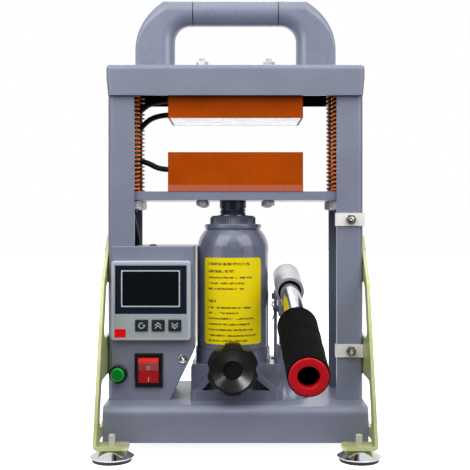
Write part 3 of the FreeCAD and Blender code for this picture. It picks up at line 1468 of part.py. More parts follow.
def make_jack_base():
    """Cast base of the bottle jack: plate, block, seat, valve boss, ribs, pump boss and lug."""
    body = new_body("jack_base")
    floor = BASE_TOP
    deck = floor + D.jack_plate
    left, right = -D.jack_left, D.jack_right
    prism(body, "XY", floor, deck, box_loop(left, -D.jack_front, right, D.jack_rear))
    fillet(body, D.jack_rib, lambda edge: runs_along(edge, "z"))
    block_top = floor + D.jack_block
    prism(body, "XY", deck, block_top,
          box_loop(left, -D.jack_block_front, right, D.jack_rear - D.jack_plate))
    fillet(body, D.jack_plate / 3, lambda edge: runs_along(edge, "y")
           and near(edge.BoundBox.ZMin, block_top))
    prism(body, "XY", deck, floor + D.jack_seat, Circle(D.jack_x, 0.0, D.jack_seat_radius))
    prism(body, "XZ", -D.valve_boss_reach, -D.valve_boss / 2,
          Circle(D.jack_x, floor + D.valve_z, D.valve_boss / 2))
    inner = D.valve_boss / 2
    for side, end in ((-1, left + D.jack_plate / 2), (1, right - D.jack_plate / 2)):
        prism(body, "XZ", -D.jack_front + D.jack_plate / 4, -D.jack_block_front, [
            (end, deck), (D.jack_x + side * inner * 0.8, floor + D.valve_z + D.jack_plate / 2),
            (D.jack_x + side * inner * 0.8, floor + D.valve_z - D.jack_rib / 2),
            (end - side * D.jack_rib, deck)])
    loft = body.newObject("PartDesign::AdditiveLoft", "PumpFoot")
    loft.Profile = draw(body, "XY", floor, [Circle(D.pump_x, PUMP_Y, D.pump_boss + D.pump_foot / 2)])
    loft.Sections = [
        draw(body, "XY", floor + D.pump_foot / 2, [Circle(D.pump_x, PUMP_Y, D.pump_boss * 1.2)]),
        draw(body, "XY", floor + D.pump_foot * 1.4, [Circle(D.pump_x, PUMP_Y, D.pump_boss)])]
    prism(body, "XY", floor + D.pump_foot, floor + D.pump_boss_top,
          Circle(D.pump_x, PUMP_Y, D.pump_boss))
    lug_z = floor + D.lug_z
    prism(body, "YZ", D.pump_x - EAR_OUTER, D.pump_x + EAR_OUTER, [
        (D.lug_y - D.lug_half, floor), (D.lug_y + D.lug_half, floor),
        (D.lug_y + D.lug_half, lug_z), (D.lug_y - D.lug_half, lug_z, D.lug_half)])
    prism(body, "YZ", D.pump_x - EAR_OUTER - OVER, D.pump_x + EAR_OUTER + OVER,
          Circle(D.lug_y, lug_z, D.link_pin / 2), cut=True)
    play = D.link_half + D.clearance * 2
    prism(body, "XY", lug_z - play, floor + D.jack_seat + OVER,
          box_loop(D.pump_x - LINK_REACH - D.clearance * 2, D.lug_y - play,
                   D.pump_x - EAR_OUTER, D.lug_y + play), cut=True)
    prism(body, "XY", PLUNGER_LOW - D.fit, floor + D.pump_boss_top,
          Circle(D.pump_x, PUMP_Y, D.plunger / 2 + D.fit), cut=True)
    prism(body, "XZ", -D.valve_boss_reach - OVER, VALVE_TIP,
          Circle(D.jack_x, floor + D.valve_z, D.valve_rod / 2 + D.fit), cut=True)
    node("jack_base", body)


def make_jack():
    """Reservoir, cylinder, top nut, ram, extension screw with its ring, and filler plug."""
    seat = BASE_TOP + D.jack_seat
    neck = BASE_TOP + D.jack_dome_top
    tube = D.ram_radius + D.fit
    sleeve = tube + D.jack_cylinder_wall
    inner = D.jack_radius - D.jack_wall
    straight = BASE_TOP + D.jack_straight
    bulge = D.jack_wall

    shell = new_body("jack_reservoir")
    turned(shell, [(inner, seat), (D.jack_radius, seat), (D.jack_radius, straight),
                   (D.jack_dome_radius, neck, bulge), (sleeve, neck), (sleeve, neck - D.jack_wall),
                   (D.jack_dome_radius - D.jack_wall, neck - D.jack_wall),
                   (inner, straight - D.jack_wall, -bulge)])
    fill_z = BASE_TOP + D.jack_straight - D.filler
    prism(shell, "XZ", inner - D.jack_wall, D.jack_radius + OVER, Circle(0.0, fill_z, D.filler / 2),
          cut=True)
    node("jack_reservoir", shell, D.jack_x)

    cylinder = new_body("jack_cylinder")
    turned(cylinder, [(tube, seat), (sleeve, seat), (sleeve, neck), (tube, neck)])
    node("jack_cylinder", cylinder, D.jack_x)

    nut = new_body("jack_top_nut")
    turned(nut, [(tube, neck), (D.jack_nut_radius, neck), (D.jack_nut_radius, JACK_TOP),
                 (tube, JACK_TOP)])
    chamfer(nut, D.jack_edge, lambda edge: near(edge.BoundBox.ZMin, JACK_TOP)
            and near(edge.BoundBox.XMax, D.jack_nut_radius))
    node("jack_top_nut", nut, D.jack_x)

    plug = new_body("filler_plug")
    plug_low, plug_high = inner - D.filler_dome, D.jack_radius + D.filler_dome
    turned(plug, [(0.0, plug_low), (D.filler / 2, plug_low), (D.filler / 2, plug_high),
                  (0.0, plug_high + D.filler_dome)])
    node("filler_plug", plug, D.jack_x, 0.0, fill_z, *BACKWARD)

    screw_low = CARRIAGE_BOTTOM - D.screw_length
    well = screw_low - D.stop_ring - D.screw_travel - D.stop_ring / 2
    bore = D.screw_radius + D.fit
    top = JACK_TOP + D.ram_proud
    ram = new_body("ram")
    ram_low = seat + D.jack_edge
    turned(ram, [(0.0, ram_low), (D.ram_radius, ram_low), (D.ram_radius, top), (bore, top),
                 (bore, well), (0.0, well)])
    node("ram", ram, D.jack_x)

    screw = new_body("extension_screw")
    turned(screw, [(0.0, screw_low), (D.screw_radius, screw_low), (D.screw_radius, CARRIAGE_BOTTOM),
                   (0.0, CARRIAGE_BOTTOM)])
    chamfer(screw, D.jack_edge, lambda edge: near(edge.BoundBox.ZMin, CARRIAGE_BOTTOM))
    node("extension_screw", screw, D.jack_x)

    ring = new_body("screw_stop_ring")
    ring_low, ring_bore = screw_low - D.stop_ring, D.screw_radius / 2
    turned(ring, [(ring_bore, ring_low), (D.screw_radius, ring_low), (D.screw_radius, screw_low),
                  (ring_bore, screw_low)])
    node("screw_stop_ring", ring, D.jack_x)


def make_release_valve():
    """Valve rod with its lobed knob, pointing forwards."""
    z = BASE_TOP + D.valve_z
    stem = D.valve_rod / 2
    rod_end = -VALVE_TIP + D.valve_rod_length
    rod = new_body("release_valve")
    turned(rod, [(0.0, -VALVE_TIP + stem), (stem, -VALVE_TIP + D.valve_rod), (stem, rod_end),
                 (0.0, rod_end)])
    node("release_valve", rod, D.jack_x, 0.0, z, *FORWARD)

    knob = new_body("release_knob")
    front = -VALVE_FRONT
    back = front - D.knob_length
    radius, disc, recess = D.knob / 2, D.knob_disc / 2, D.knob_recess / 2
    edge, floor = D.knob_edge, front - D.knob_recess_depth
    turned(knob, [(stem, back), (radius - edge, back), (radius, back + edge),
                  (radius, floor), (disc, front), (disc - edge / 2, front),
                  (recess, (floor + front) / 2), (recess, floor), (0.0, floor), (0.0, rod_end),
                  (stem, rod_end)])
    scallop = prism(knob, "XY", back - OVER, front,
                    Circle(D.knob_scallop + radius - D.knob_scallop_depth, 0.0, D.knob_scallop),
                    cut=True)
    doc.recompute()
    pattern = knob.newObject("PartDesign::PolarPattern", "KnobLobes")
    pattern.Originals = [scallop]
    pattern.Axis = (scallop.Profile[0], ["N_Axis"])
    pattern.Angle = 360.0
    bind(pattern, "Occurrences", D.knob_lobes)
    knob.Tip = pattern
    node("release_knob", knob, D.jack_x, 0.0, z, *FORWARD)


def make_pump():
    """Pump cylinder, plunger with its slotted eye, and the links that carry the lever."""
    low = BASE_TOP + D.pump_boss_top
    step, high = low + D.pump_cylinder_height / 2, low + D.pump_cylinder_height
    cylinder = new_body("pump_cylinder")
    bore, wide, slim = D.plunger / 2 + D.fit, D.pump_cylinder, D.pump_cylinder - D.pump_step
    turned(cylinder, [(bore, low), (wide, low), (wide, step), (slim, step + D.pump_step / 2),
                      (slim, high), (bore, high)])
    node("pump_cylinder", cylinder, D.pump_x, PUMP_Y)

    plunger = new_body("pump_plunger")
    half = D.eye_width / 2
    prism(plunger, "XY", PLUNGER_LOW, PIN_Z - D.eye_half, Circle(D.pump_x, PUMP_Y, D.plunger / 2))
    prism(plunger, "YZ", D.pump_x - half, D.pump_x + half, [
        (PUMP_Y - D.eye_half, PIN_Z - D.eye_half), (PUMP_Y + D.eye_half, PIN_Z - D.eye_half),
        (PUMP_Y + D.eye_half, PIN_Z), (PUMP_Y - D.eye_half, PIN_Z, D.eye_half)])
    slot = D.lever_pin / 2 + D.clearance
    prism(plunger, "YZ", D.pump_x - half - OVER, D.pump_x + half + OVER, [
        (PUMP_Y - PIN_SHIFT, PIN_Z - slot, slot), (PUMP_Y + PIN_SHIFT, PIN_Z - slot),
        (PUMP_Y + PIN_SHIFT, PIN_Z + slot, slot), (PUMP_Y - PIN_SHIFT, PIN_Z + slot)], cut=True)
    node("pump_plunger", plunger)

    lug_z = BASE_TOP + D.lug_z
    pieces = []
    for side in (-1, 1):
        link = new_body("lever_link_%s" % ("left" if side < 0 else "right"))
        inner = D.pump_x + side * (EAR_OUTER + D.clearance)
        outer = inner + side * D.link_sheet
        low_x, high_x = (outer, inner) if side < 0 else (inner, outer)
        prism(link, "YZ", low_x, high_x, [
            (D.lug_y - D.link_half, lug_z), (D.lug_y + D.link_half, lug_z, D.link_half),
            (D.pivot_y + D.link_half, PIVOT_Z), (D.pivot_y - D.link_half, PIVOT_Z, D.link_half)])
        prism(link, "YZ", low_x - OVER, high_x + OVER, Circle(D.lug_y, lug_z, D.link_pin / 2),
              Circle(D.pivot_y, PIVOT_Z, D.link_pin / 2), cut=True)
        pieces.append(link)
    for name, y, z in (("lug_pin", D.lug_y, lug_z), ("pivot_pin", D.pivot_y, PIVOT_Z)):
        pieces.append(rod_between(name, (D.pump_x - LINK_REACH, y, z),
                                  (D.pump_x + LINK_REACH, y, z), D.link_pin / 2))
    group("lever_links", pieces)


def make_lever():
    """Socket, tube, foam grip and end ring about the lever's own axis, with the clevis pin."""
    along = (V(1, 0, 0), 90.0 + D.lever_droop.value)
    spot = (D.pump_x, LEVER_Y, LEVER_Z)
    wall = D.socket - D.socket_bore

    socket = new_body("lever_socket")
    outer, bore, edge = D.socket / 2, D.socket_bore / 2, D.socket_edge
    turned(socket, [(0.0, 0.0), (outer - edge, 0.0), (outer, edge), (outer, D.socket_length),
                    (bore, D.socket_length), (bore, wall), (0.0, wall)])
    depth = D.ear_sunk - bore
    for side in (-1, 1):
        low_x, high_x = sorted((side * D.ear_inner, side * EAR_OUTER), key=float)
        prism(socket, "YZ", low_x, high_x, [
            (depth, -D.ear_round), (-D.socket_offset, -D.ear_round),
            (-PIN_BELOW - D.ear_round, PIN_ALONG - D.ear_round),
            (-PIN_BELOW - D.ear_round, PIN_ALONG + D.ear_round),
            (-D.socket_offset, PIN_ALONG + D.ear_round * 2), (depth, PIN_ALONG + D.ear_round * 2)])
    fillet(socket, D.ear_round / 2, lambda edge: runs_along(edge, "x")
           and edge.BoundBox.YMax < -outer.value)
    prism(socket, "YZ", -EAR_OUTER - OVER, EAR_OUTER + OVER,
          Circle(-D.socket_offset, 0.0, D.link_pin / 2 + D.fit),
          Circle(-PIN_BELOW, PIN_ALONG, D.lever_pin / 2), cut=True)
    node("lever_socket", socket, *spot, *along)

    tube = new_body("lever_tube")
    mouth = D.lever_tube_length - D.lever_bore_depth
    turned(tube, [(0.0, wall), (D.lever_tube / 2, wall), (D.lever_tube / 2, D.lever_tube_length),
                  (D.lever_tube_bore / 2, D.lever_tube_length), (D.lever_tube_bore / 2, mouth),
                  (0.0, mouth)])
    node("lever_tube", tube, *spot, *along)

    grip = new_body("lever_grip")
    turned(grip, [(D.lever_tube / 2, D.lever_grip_start), (D.lever_grip_far / 2, D.lever_grip_start),
                  (D.lever_grip_near / 2, GRIP_END), (D.lever_tube / 2, GRIP_END)])
    fillet(grip, D.lever_grip_edge, lambda edge: near(edge.BoundBox.ZMax, D.lever_grip_start)
           and near(edge.BoundBox.XMax, D.lever_grip_far / 2))
    node("lever_grip", grip, *spot, *along)

    ring = new_body("grip_end_ring")
    turned(ring, [(D.grip_ring_hole / 2, GRIP_END, RING_ROUND), (D.lever_grip_near / 2, GRIP_END)])
    node("grip_end_ring", ring, *spot, *along)

    pin = rod_between("clevis_pin", (-EAR_OUTER - D.clevis_tail, -PIN_BELOW, PIN_ALONG),
                      (EAR_OUTER + D.clevis_head, -PIN_BELOW, PIN_ALONG), D.lever_pin / 2)
    wire, half = D.hairpin_wire.value, D.hairpin_length.value / 2
    leg = -(EAR_OUTER + D.clevis_hole).value
    spots = [V(leg - out * wire, -PIN_BELOW.value + up * half, PIN_ALONG.value)
             for out, up in HAIRPIN]
    path = rounded_path(spots)[0]
    hairpin = doc.addObject("Part::Feature", "hairpin")
    hairpin.Shape = swept_round(path, spots[0], V(0, 1, 0), wire)
    hole = rod_between("hairpin_hole", (leg, -PIN_BELOW - D.lever_pin, PIN_ALONG),
                       (leg, -PIN_BELOW + D.lever_pin, PIN_ALONG), D.hairpin_wire / 2)
    compound = doc.addObject("Part::Compound", "hairpin_cotter")
    compound.Links = [bored("clevis_pin_bored", pin, hole), hairpin]
    node("hairpin_cotter", compound, *spot, *along)


def make_all():
    """Build every sub-part of the press."""
    make_base_channel()
    make_column("left_column", -1)
    make_column("right_column", 1)
    make_top_beam()
    make_handle_ends()
    make_handle_grip()
    make_side_braces()
    make_frame_bolts()
    make_frame_nuts()
    make_column_clips()
    make_guide_rods()
    make_upper_press()
    make_lower_beam()
    make_lower_press()
    make_return_springs()
    make_leads()
    make_feet()
    make_control_box()
    make_box_screws()
    make_controller()
    make_switch()
    make_push_button()
    make_power_inlet()
    make_jack_base()
    make_jack()
    make_release_valve()
    make_pump()
    make_lever()


def check_document():
    """Stop on any failed object or unsound shape before anything is written."""
    failed = [obj.Name for obj in doc.Objects
              if "Invalid" in obj.State or "Error" in obj.State]
    if failed:
        raise RuntimeError("failed objects: " + ", ".join(failed))
    for name, obj in nodes.items():
        shape = obj.Shape
        if shape.isNull() or not shape.isValid() or not shape.Solids:
            raise RuntimeError("unsound shape: " + name)


def write_parts():
    """One file for each node, and the overall box for the eye."""
    os.makedirs("parts", exist_ok=True)
    bound = FreeCAD.BoundBox()
    for name, obj in nodes.items():
        obj.Shape.exportStep("parts/%s.step" % name)
        bound.add(obj.Shape.BoundBox)
    print("%d nodes, box X %.2f %.2f  Y %.2f %.2f  Z %.2f %.2f"
          % (len(nodes), bound.XMin, bound.XMax, bound.YMin, bound.YMax, bound.ZMin, bound.ZMax))


make_all()
doc.recompute()
check_document()
write_parts()
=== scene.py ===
"""Looks of the hydraulic heat press: finishes, wound and fine pieces, stage and camera.

The CAD frame carries every rigid piece. This script dresses it, winds the return springs and the
leads, and adds what is too fine for the solids. Shapes are worked out in millimetres on the
press's own axes: X across, Y from the front to the back with 0 in the columns' middle plane, and
Z up from the floor. They turn to metres and to the frame's place when they become a mesh.
"""

import logging
import math
from collections.abc import Sequence
from dataclasses import dataclass, field, replace
from enum import Enum
from typing import Any

import bpy
import numpy as np
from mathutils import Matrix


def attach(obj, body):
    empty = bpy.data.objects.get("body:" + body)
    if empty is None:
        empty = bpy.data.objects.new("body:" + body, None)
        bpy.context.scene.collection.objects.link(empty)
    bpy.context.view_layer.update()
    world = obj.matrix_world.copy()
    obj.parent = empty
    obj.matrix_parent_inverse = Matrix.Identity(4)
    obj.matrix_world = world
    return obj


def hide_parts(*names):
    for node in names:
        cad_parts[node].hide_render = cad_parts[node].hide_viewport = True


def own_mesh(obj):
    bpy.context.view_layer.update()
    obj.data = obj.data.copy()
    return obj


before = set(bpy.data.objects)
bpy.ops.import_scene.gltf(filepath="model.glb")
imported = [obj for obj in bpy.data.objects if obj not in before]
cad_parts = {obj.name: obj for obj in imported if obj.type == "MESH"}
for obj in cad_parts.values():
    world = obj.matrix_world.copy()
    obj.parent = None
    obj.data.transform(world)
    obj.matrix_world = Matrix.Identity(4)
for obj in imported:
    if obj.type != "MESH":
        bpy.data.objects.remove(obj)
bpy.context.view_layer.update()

LOG = logging.getLogger("heat_press")
MM = 0.001
TURN = 2.0 * math.pi
# The press's own middle plane stands this far behind the middle of the frame's box
MIDDLE_Y = 70.58
BEHIND = (0.0, MIDDLE_Y, 0.0)
# Where the pump lever's axis starts, and the way that it points: forwards, a little down
LEVER_FOOT = (48.5, 4.03, 150.5)
LEVER_DROOP = math.radians(11.5)
LEVER_WAY = (0.0, -math.cos(LEVER_DROOP), -math.sin(LEVER_DROOP))
# The jack's own axis and the radius of its tank
JACK_X = -2.5
JACK_RADIUS = 34.0
# Where the guide rods stand, and the radius of a 6 mm thread
RODS = (96.0, 22.0)
SIX_MM_THREAD = 3.0
FORWARDS, BACKWARDS = (0, -1, 0), (0, 1, 0)

Array = np.ndarray
Spot = Sequence[float]
Pair = tuple[float, float]
Point = tuple[float, float, float]
Four = tuple[float, float, float, float]
Socket = bpy.types.NodeSocket
Looks = dict[str, Socket]


# Shapes


@dataclass
class Surface:
    """A closed skin in millimetres: points, four-sided faces and faces of other counts."""

    points: Array
    quads: Array
    others: list[list[int]] = field(default_factory=list)

    def outward(self) -> "Surface":
        """Turn every face outwards, by the sign of the room that the skin encloses.

        The room is a sixth of the sum of each triangle's corner . (corner x corner).

        Returns:
            This surface, turned inside out where it had to be.
        """
        pieces = [self.quads[:, (0, 1, 2)], self.quads[:, (0, 2, 3)]]
        for face in self.others:
            ring = np.asarray(face)
            pieces.append(np.column_stack((np.full(len(ring) - 2, ring[0]), ring[1:-1], ring[2:])))
        corners = (self.points - self.points.mean(axis=0))[np.concatenate(pieces)]
        if np.einsum("ij,ij->", corners[:, 0], np.cross(corners[:, 1], corners[:, 2])) < 0:
            self.quads = self.quads[:, ::-1]
            self.others = [face[::-1] for face in self.others]
        return self

    def placed(self, at: Spot, along: Spot = (0, 0, 1), turn: float = 0.0) -> "Surface":
        """Stand the surface's own Z axis along a direction, at a place.

        Args:
            at: where the surface's own origin goes.
            along: the direction that its Z axis takes.
            turn: how far it first turns about its own Z axis, in degrees.

        Returns:
            A new surface.
        """
        c, s = math.cos(math.radians(turn)), math.sin(math.radians(turn))
        spin = np.array(((c, -s, 0), (s, c, 0), (0, 0, 1)))
        points = self.points @ (axes_along(along) @ spin).T + np.asarray(at, float)
        return Surface(points, self.quads, self.others)

    def at_all(self, places: Sequence[Spot], along: Spot = (0, 0, 1)) -> "Surface":
        """Copies of the surface stood along a direction at each of the places, as one."""
        return joined([self.placed(place, along) for place in places])


def joined(parts: Sequence[Surface]) -> Surface:
    """Several surfaces as one, each an island of its own.

    Args:
        parts: the surfaces.

    Returns:
        One surface.
    """
    starts = np.cumsum([0] + [len(part.points) for part in parts]).tolist()
    return Surface(
        np.concatenate([part.points for part in parts]),
        np.concatenate([part.quads + start for part, start in zip(parts, starts)]),
        [[i + start for i in face] for part, start in zip(parts, starts) for face in part.others])


def axes_along(direction: Spot) -> Array:
    """Three unit columns at right angles, the last one along a direction.

    Args:
        direction: any vector but zero.

    Returns:
        The 3 x 3 matrix; across is level wherever that can be.
    """
    up = np.asarray(direction, float) / np.linalg.norm(direction)
    across = np.cross((0.0, 0.0, 1.0), up)
    size = np.linalg.norm(across)
    across = across / size if size > 1e-9 else np.array((1.0, 0.0, 0.0))
    return np.column_stack((across, np.cross(up, across), up))


def net(rows: Array, looped: bool = False) -> Surface:
    """A skin over rows of points, each row joined round on itself.

    Args:
        rows: points as (row, column, 3).
        looped: whether the last row joins the first, as on a ring; the end rows are filled else.

    Returns:
        The closed skin, facing outwards.
    """
    index = np.arange(rows[..., 0].size).reshape(rows.shape[:2])
    below = index if looped else index[:-1]
    above = np.roll(index, -1, axis=0) if looped else index[1:]
    quads = np.stack((below, np.roll(below, -1, axis=1), np.roll(above, -1, axis=1), above), -1)
    caps = [] if looped else [index[0][::-1].tolist(), index[-1].tolist()]
    return Surface(rows.reshape(-1, 3), quads.reshape(-1, 4), caps).outward()


def slab(front: Array, back: Array) -> Surface:
    """A plate between two nets of the same size: its two faces and a strip on each edge.

    Args:
        front: points of one face as (row, column, 3).
        back: points of the other face.

    Returns:
        The closed skin, facing outwards.
    """
    a = np.arange(front[..., 0].size).reshape(front.shape[:2])
    b = a + a.size
    faces = [np.stack((n[:-1, :-1], n[:-1, 1:], n[1:, 1:], n[1:, :-1]), -1).reshape(-1, 4)
             for n in (a, b)]
    strips = [np.stack((one[1:], one[:-1], two[:-1], two[1:]), -1) for one, two in (
        (b[0], a[0]), (a[-1], b[-1]), (a[:, 0], b[:, 0]), (b[:, -1], a[:, -1]))]
    quads = np.concatenate((faces[0], faces[1][:, ::-1], *strips))
    return Surface(np.concatenate((front.reshape(-1, 3), back.reshape(-1, 3))), quads).outward()


def circle(sides: int) -> Array:
    """Angles of the corners of a round row, in radians."""
    return np.arange(sides) * TURN / sides


def round_rows(reach: Any, levels: Any, angles: Array) -> Array:
    """Rows of points (reach cos a, reach sin a, level) over all the angles."""
    return np.stack(np.broadcast_arrays(reach * np.cos(angles), reach * np.sin(angles), levels), -1)


def layers(*lines: tuple[Any, float]) -> Array:
    """Flat lines of (x, y) points as rows, each lifted to its own level."""
    return np.stack([np.column_stack((line, np.full(len(line), level))) for line, level in lines])


def turned(profile: Sequence[Spot], sides: int = 48, looped: bool = False) -> Surface:
    """A profile turned about the Z axis: x = r cos a, y = r sin a at each height.

    Args:
        profile: (radius, height) pairs along the outline; a radius near 0 closes to a tip.
        sides: how many faces go round.
        looped: whether the profile closes on itself, as a tyre's does.

    Returns:
        The closed skin.
    """
    outline = np.asarray(profile, float)
    tip = 0.02
    return net(round_rows(np.maximum(outline[:, :1], tip), outline[:, 1:], circle(sides)), looped)


def arc(centre: Spot, radius: float, start: float, end: float,
        steps: int = 6) -> list[Pair]:
    """Points on an arc in a flat outline.

    Args:
        centre: its middle.
        radius: its radius.
        start: the first angle, in degrees.
        end: the last angle.
        steps: how many runs it has.

    Returns:
        The points in order, both ends included.
    """
    angles = np.radians(np.linspace(start, end, steps + 1))
    return [(centre[0] + radius * math.cos(a), centre[1] + radius * math.sin(a)) for a in angles]


def flats(angles: Array, across: float) -> Array:
    """A hexagon's reach: half its width over the cosine of the angle from the nearest flat."""
    sixth = math.pi / 3
    return across / 2 / np.cos(angles % sixth - sixth / 2)


def hexagonal(across: float, low: float, high: float, bore: float = 0.0) -> Surface:
    """A nut or a bolt's head about the Z axis, its corners cut by cones of 30 degrees.

    The wall is the hexagon's, or the cone's where that is nearer: the face's own circle plus
    the way in from the face over the slope.

    Args:
        across: width across flats.
        low: where it starts along Z.
        high: where it ends.
        bore: radius of its hole; 0 for a head.

    Returns:
        The closed skin.
    """
    angles, face, slope, lead_in = circle(48), 0.475 * across, math.tan(math.radians(30)), 0.4
    drop = (across / math.sqrt(3) - face) * slope * np.linspace(0, 1, 5)
    levels = np.concatenate((low + drop, (high - drop)[::-1]))[:, None]
    reach = np.minimum(flats(angles, across), face + np.minimum(levels - low, high - levels) / slope)
    if bore:
        inner = np.array(((bore + lead_in, high), (bore, high - lead_in), (bore, low + lead_in),
                          (bore + lead_in, low)))
        reach = np.concatenate((reach, np.broadcast_to(inner[:, :1], (4, len(angles)))))
        levels = np.concatenate((levels, inner[:, 1:]))
    return net(round_rows(reach, levels, angles), looped=bool(bore))


def threaded(radius: float, pitch: float, low: float, high: float, depth: float = 0.0,
             sides: int = 24) -> Surface:
    """A threaded rod about the Z axis, pointed at both ends.

    The radius falls from the crest by the depth times the distance of height / pitch -
    angle / turn from the nearest whole number, doubled; cones of 45 degrees cut the ends.

    Args:
        radius: radius over the crests.
        pitch: from one crest to the next.
        low: where it starts along Z.
        high: where it ends.
        depth: how deep the groove is; 0 for six tenths of the pitch.
        sides: how many faces go round.

    Returns:
        The closed skin.
    """
    depth = depth or 0.6 * pitch
    angles, rows_per_pitch = circle(sides), 6
    levels = np.linspace(low, high, max(3, round((high - low) / pitch * rows_per_pitch) + 1))[:, None]
    phase = levels / pitch - angles / TURN
    cone = radius - depth + np.minimum(levels - low, high - levels)
    reach = np.minimum(radius - depth * (2 * np.abs(phase - np.round(phase))), cone)
    return net(round_rows(reach, levels, angles))


def cross_head(radius: float, height: float, crown: float) -> Surface:
    """A pan head with a cross recess, about the Z axis, standing on Z = 0.

    Over a grid of radius and angle the top is the height less the crown times the square of
    the radius' share, less the recess: deep where the nearer of |x| and |y| is under half the
    blade and the further one under its reach, with walls a fifth of a blade wide.

    Args:
        radius: its radius.
        height: how high its middle stands.
        crown: how much lower its rim is.

    Returns:
        The closed skin.
    """
    angles, blade, reach, deep = circle(96), 0.17 * radius, 0.56 * radius, 0.55 * height
    share = np.concatenate((np.linspace(1.0, 0.62, 5), np.linspace(0.58, 0.02, 24)))[:, None]
    across, along = np.abs(radius * share * np.cos(angles)), np.abs(radius * share * np.sin(angles))
    near, far = np.minimum(across, along), np.maximum(across, along)
    walls = np.clip((blade - near) / (0.2 * blade), 0, 1) * np.clip(
        (reach - far) / (0.3 * blade), 0, 1)
    top = height - crown * share ** 2 - walls * deep * (1.15 - far / reach)
    return net(np.concatenate((round_rows(np.full((1, 1), radius), 0.0, angles),
                               round_rows(radius * share, top, angles))))


def socket_head(radius: float, height: float, key: float) -> Surface:
    """A domed head with a hexagon socket, about the Z axis, standing on Z = 0.

    The dome falls off as a quarter ellipse from the socket's mouth out to its own rim; the
    socket's wall goes straight down from the hexagon that the key fits.

    Args:
        radius: its radius.
        height: how high it stands.
        key: the key's width across flats.

    Returns:
        The closed skin.
    """
    angles, floor, flatness = circle(48), 0.3 * height, 0.94
    mouth = flats(angles, key)
    share = np.sin(np.linspace(math.pi / 2, 0, 9))[:, None]
    dome = np.broadcast_to(height * np.sqrt(1 - flatness * share ** 2), (9, 48))
    reach = np.concatenate((np.full((1, 48), radius), mouth + (radius - mouth) * share, mouth[None]))
    level = np.concatenate((np.zeros((1, 48)), dome, np.full((1, 48), floor)))
    return net(round_rows(reach, level, angles))


def smooth_line(route: Sequence[Spot], steps: int) -> Array:
    """The smooth line through a route of corner points: its spline of order 3.

    Args:
        route: the corner points; the line starts and ends on the first and the last.
        steps: how many points lie between two corners.

    Returns:
        Points along the spline, both ends included.
    """
    curve = bpy.data.curves.new("smooth_line", "CURVE")
    curve.dimensions = "3D"
    curve.resolution_u = steps
    spline = curve.splines.new("NURBS")
    spline.points.add(len(route) - 1)
    flat = np.column_stack((np.asarray(route, float), np.ones(len(route))))
    spline.points.foreach_set("co", flat.ravel())
    spline.order_u = 3
    spline.use_endpoint_u = True
    carrier = bpy.data.objects.new("smooth_line", curve)
    mesh = bpy.data.meshes.new_from_object(carrier)
    line = np.empty(len(mesh.vertices) * 3)
    mesh.vertices.foreach_get("co", line)
    bpy.data.objects.remove(carrier)
    bpy.data.curves.remove(curve)
    bpy.data.meshes.remove(mesh)
    return line.reshape(-1, 3)


def plate(outline: Sequence[Spot], low: float, high: float) -> Surface:
    """A flat outline of (x, y) pairs given a thickness from low to high along Z."""
    return net(layers((outline, low), (outline, high)))


def rounded_box(width: float, height: float, radius: float) -> list[Pair]:
    """The outline of a rectangle with round corners about the origin.

    Args:
        width: its width.
        height: its height.
        radius: the corners' radius.

    Returns:
        Its (x, y) pairs.
    """
    x, y = width / 2 - radius, height / 2 - radius
    return (arc((x, -y), radius, -90, 0) + arc((x, y), radius, 0, 90)
            + arc((-x, y), radius, 90, 180) + arc((-x, -y), radius, 180, 270))


def four_places(x: float, y: float) -> list[Point]:
    """The four places (+-x, +-y) on the press's own middle planes."""
    return [(side * x, row * y, 0.0) for side in (-1, 1) for row in (-1, 1)]


def stroke(path: Sequence[Spot], width: float, low: float, high: float,
           closed: bool = False) -> Surface:
    """A flat line of even width along a path, given a thickness along Z.

    Each point is set off to both sides by half the width along the mean of its two runs'
    normals, lengthened where the path bends.

    Args:
        path: (x, y) points.
        width: the line's width.
        low: where it starts.
        high: where it ends.
        closed: whether the path returns to its start.

    Returns:
        The closed skin.
    """
    points, sharpest = np.asarray(path, float), 0.4
    if closed:
        before, after = points - np.roll(points, 1, 0), np.roll(points, -1, 0) - points
    else:
        runs = np.diff(points, axis=0)
        before, after = np.vstack((runs[:1], runs)), np.vstack((runs, runs[-1:]))
    before = before / np.linalg.norm(before, axis=1, keepdims=True)
    after = after / np.linalg.norm(after, axis=1, keepdims=True)
    middle = before + after
    middle /= np.linalg.norm(middle, axis=1, keepdims=True)
    reach = width / 2 / np.clip((middle * after).sum(1, keepdims=True), sharpest, 1.0)
    aside = np.column_stack((-middle[:, 1], middle[:, 0])) * reach
    left, right = points + aside, points - aside
    corners = layers((left, low), (left, high), (right, high), (right, low))
    return net(corners.swapaxes(0, 1), looped=closed)


def tube(path: Array, radius: float, sides: int, radial: Array | None = None) -> Surface:
    """A round tube along a path: centre + radius (u cos a + v sin a) at each of its points.

    Args:
        path: points as (n, 3).
        radius: the tube's radius.
        sides: how many faces go round.
        radial: a direction across the path at each point; where none is given, one that is level
            with the slanted line (1, 1, 1) is worked out.

    Returns:
        The closed skin.
    """
    tangent = np.gradient(path, axis=0)
    tangent /= np.linalg.norm(tangent, axis=1, keepdims=True)
    across = np.cross(tangent, (1.0, 1.0, 1.0)) if radial is None else radial
    across = across - (across * tangent).sum(1, keepdims=True) * tangent
    across /= np.linalg.norm(across, axis=1, keepdims=True)
    other = np.cross(tangent, across)
    angles = circle(sides)[None, :, None]
    return net(path[:, None] + radius * (across[:, None] * np.cos(angles)
                                         + other[:, None] * np.sin(angles)))


class Body(Enum):
    """The moving bodies that new pieces ride on."""

    FRAME = "frame"
    CARRIAGE = "carriage"
    SCREW = "screw"
    LEVER = "lever"
    ROCKER = "rocker"
    SET_KEY = "set_key"
    UP_KEY = "up_key"
    DOWN_KEY = "down_key"


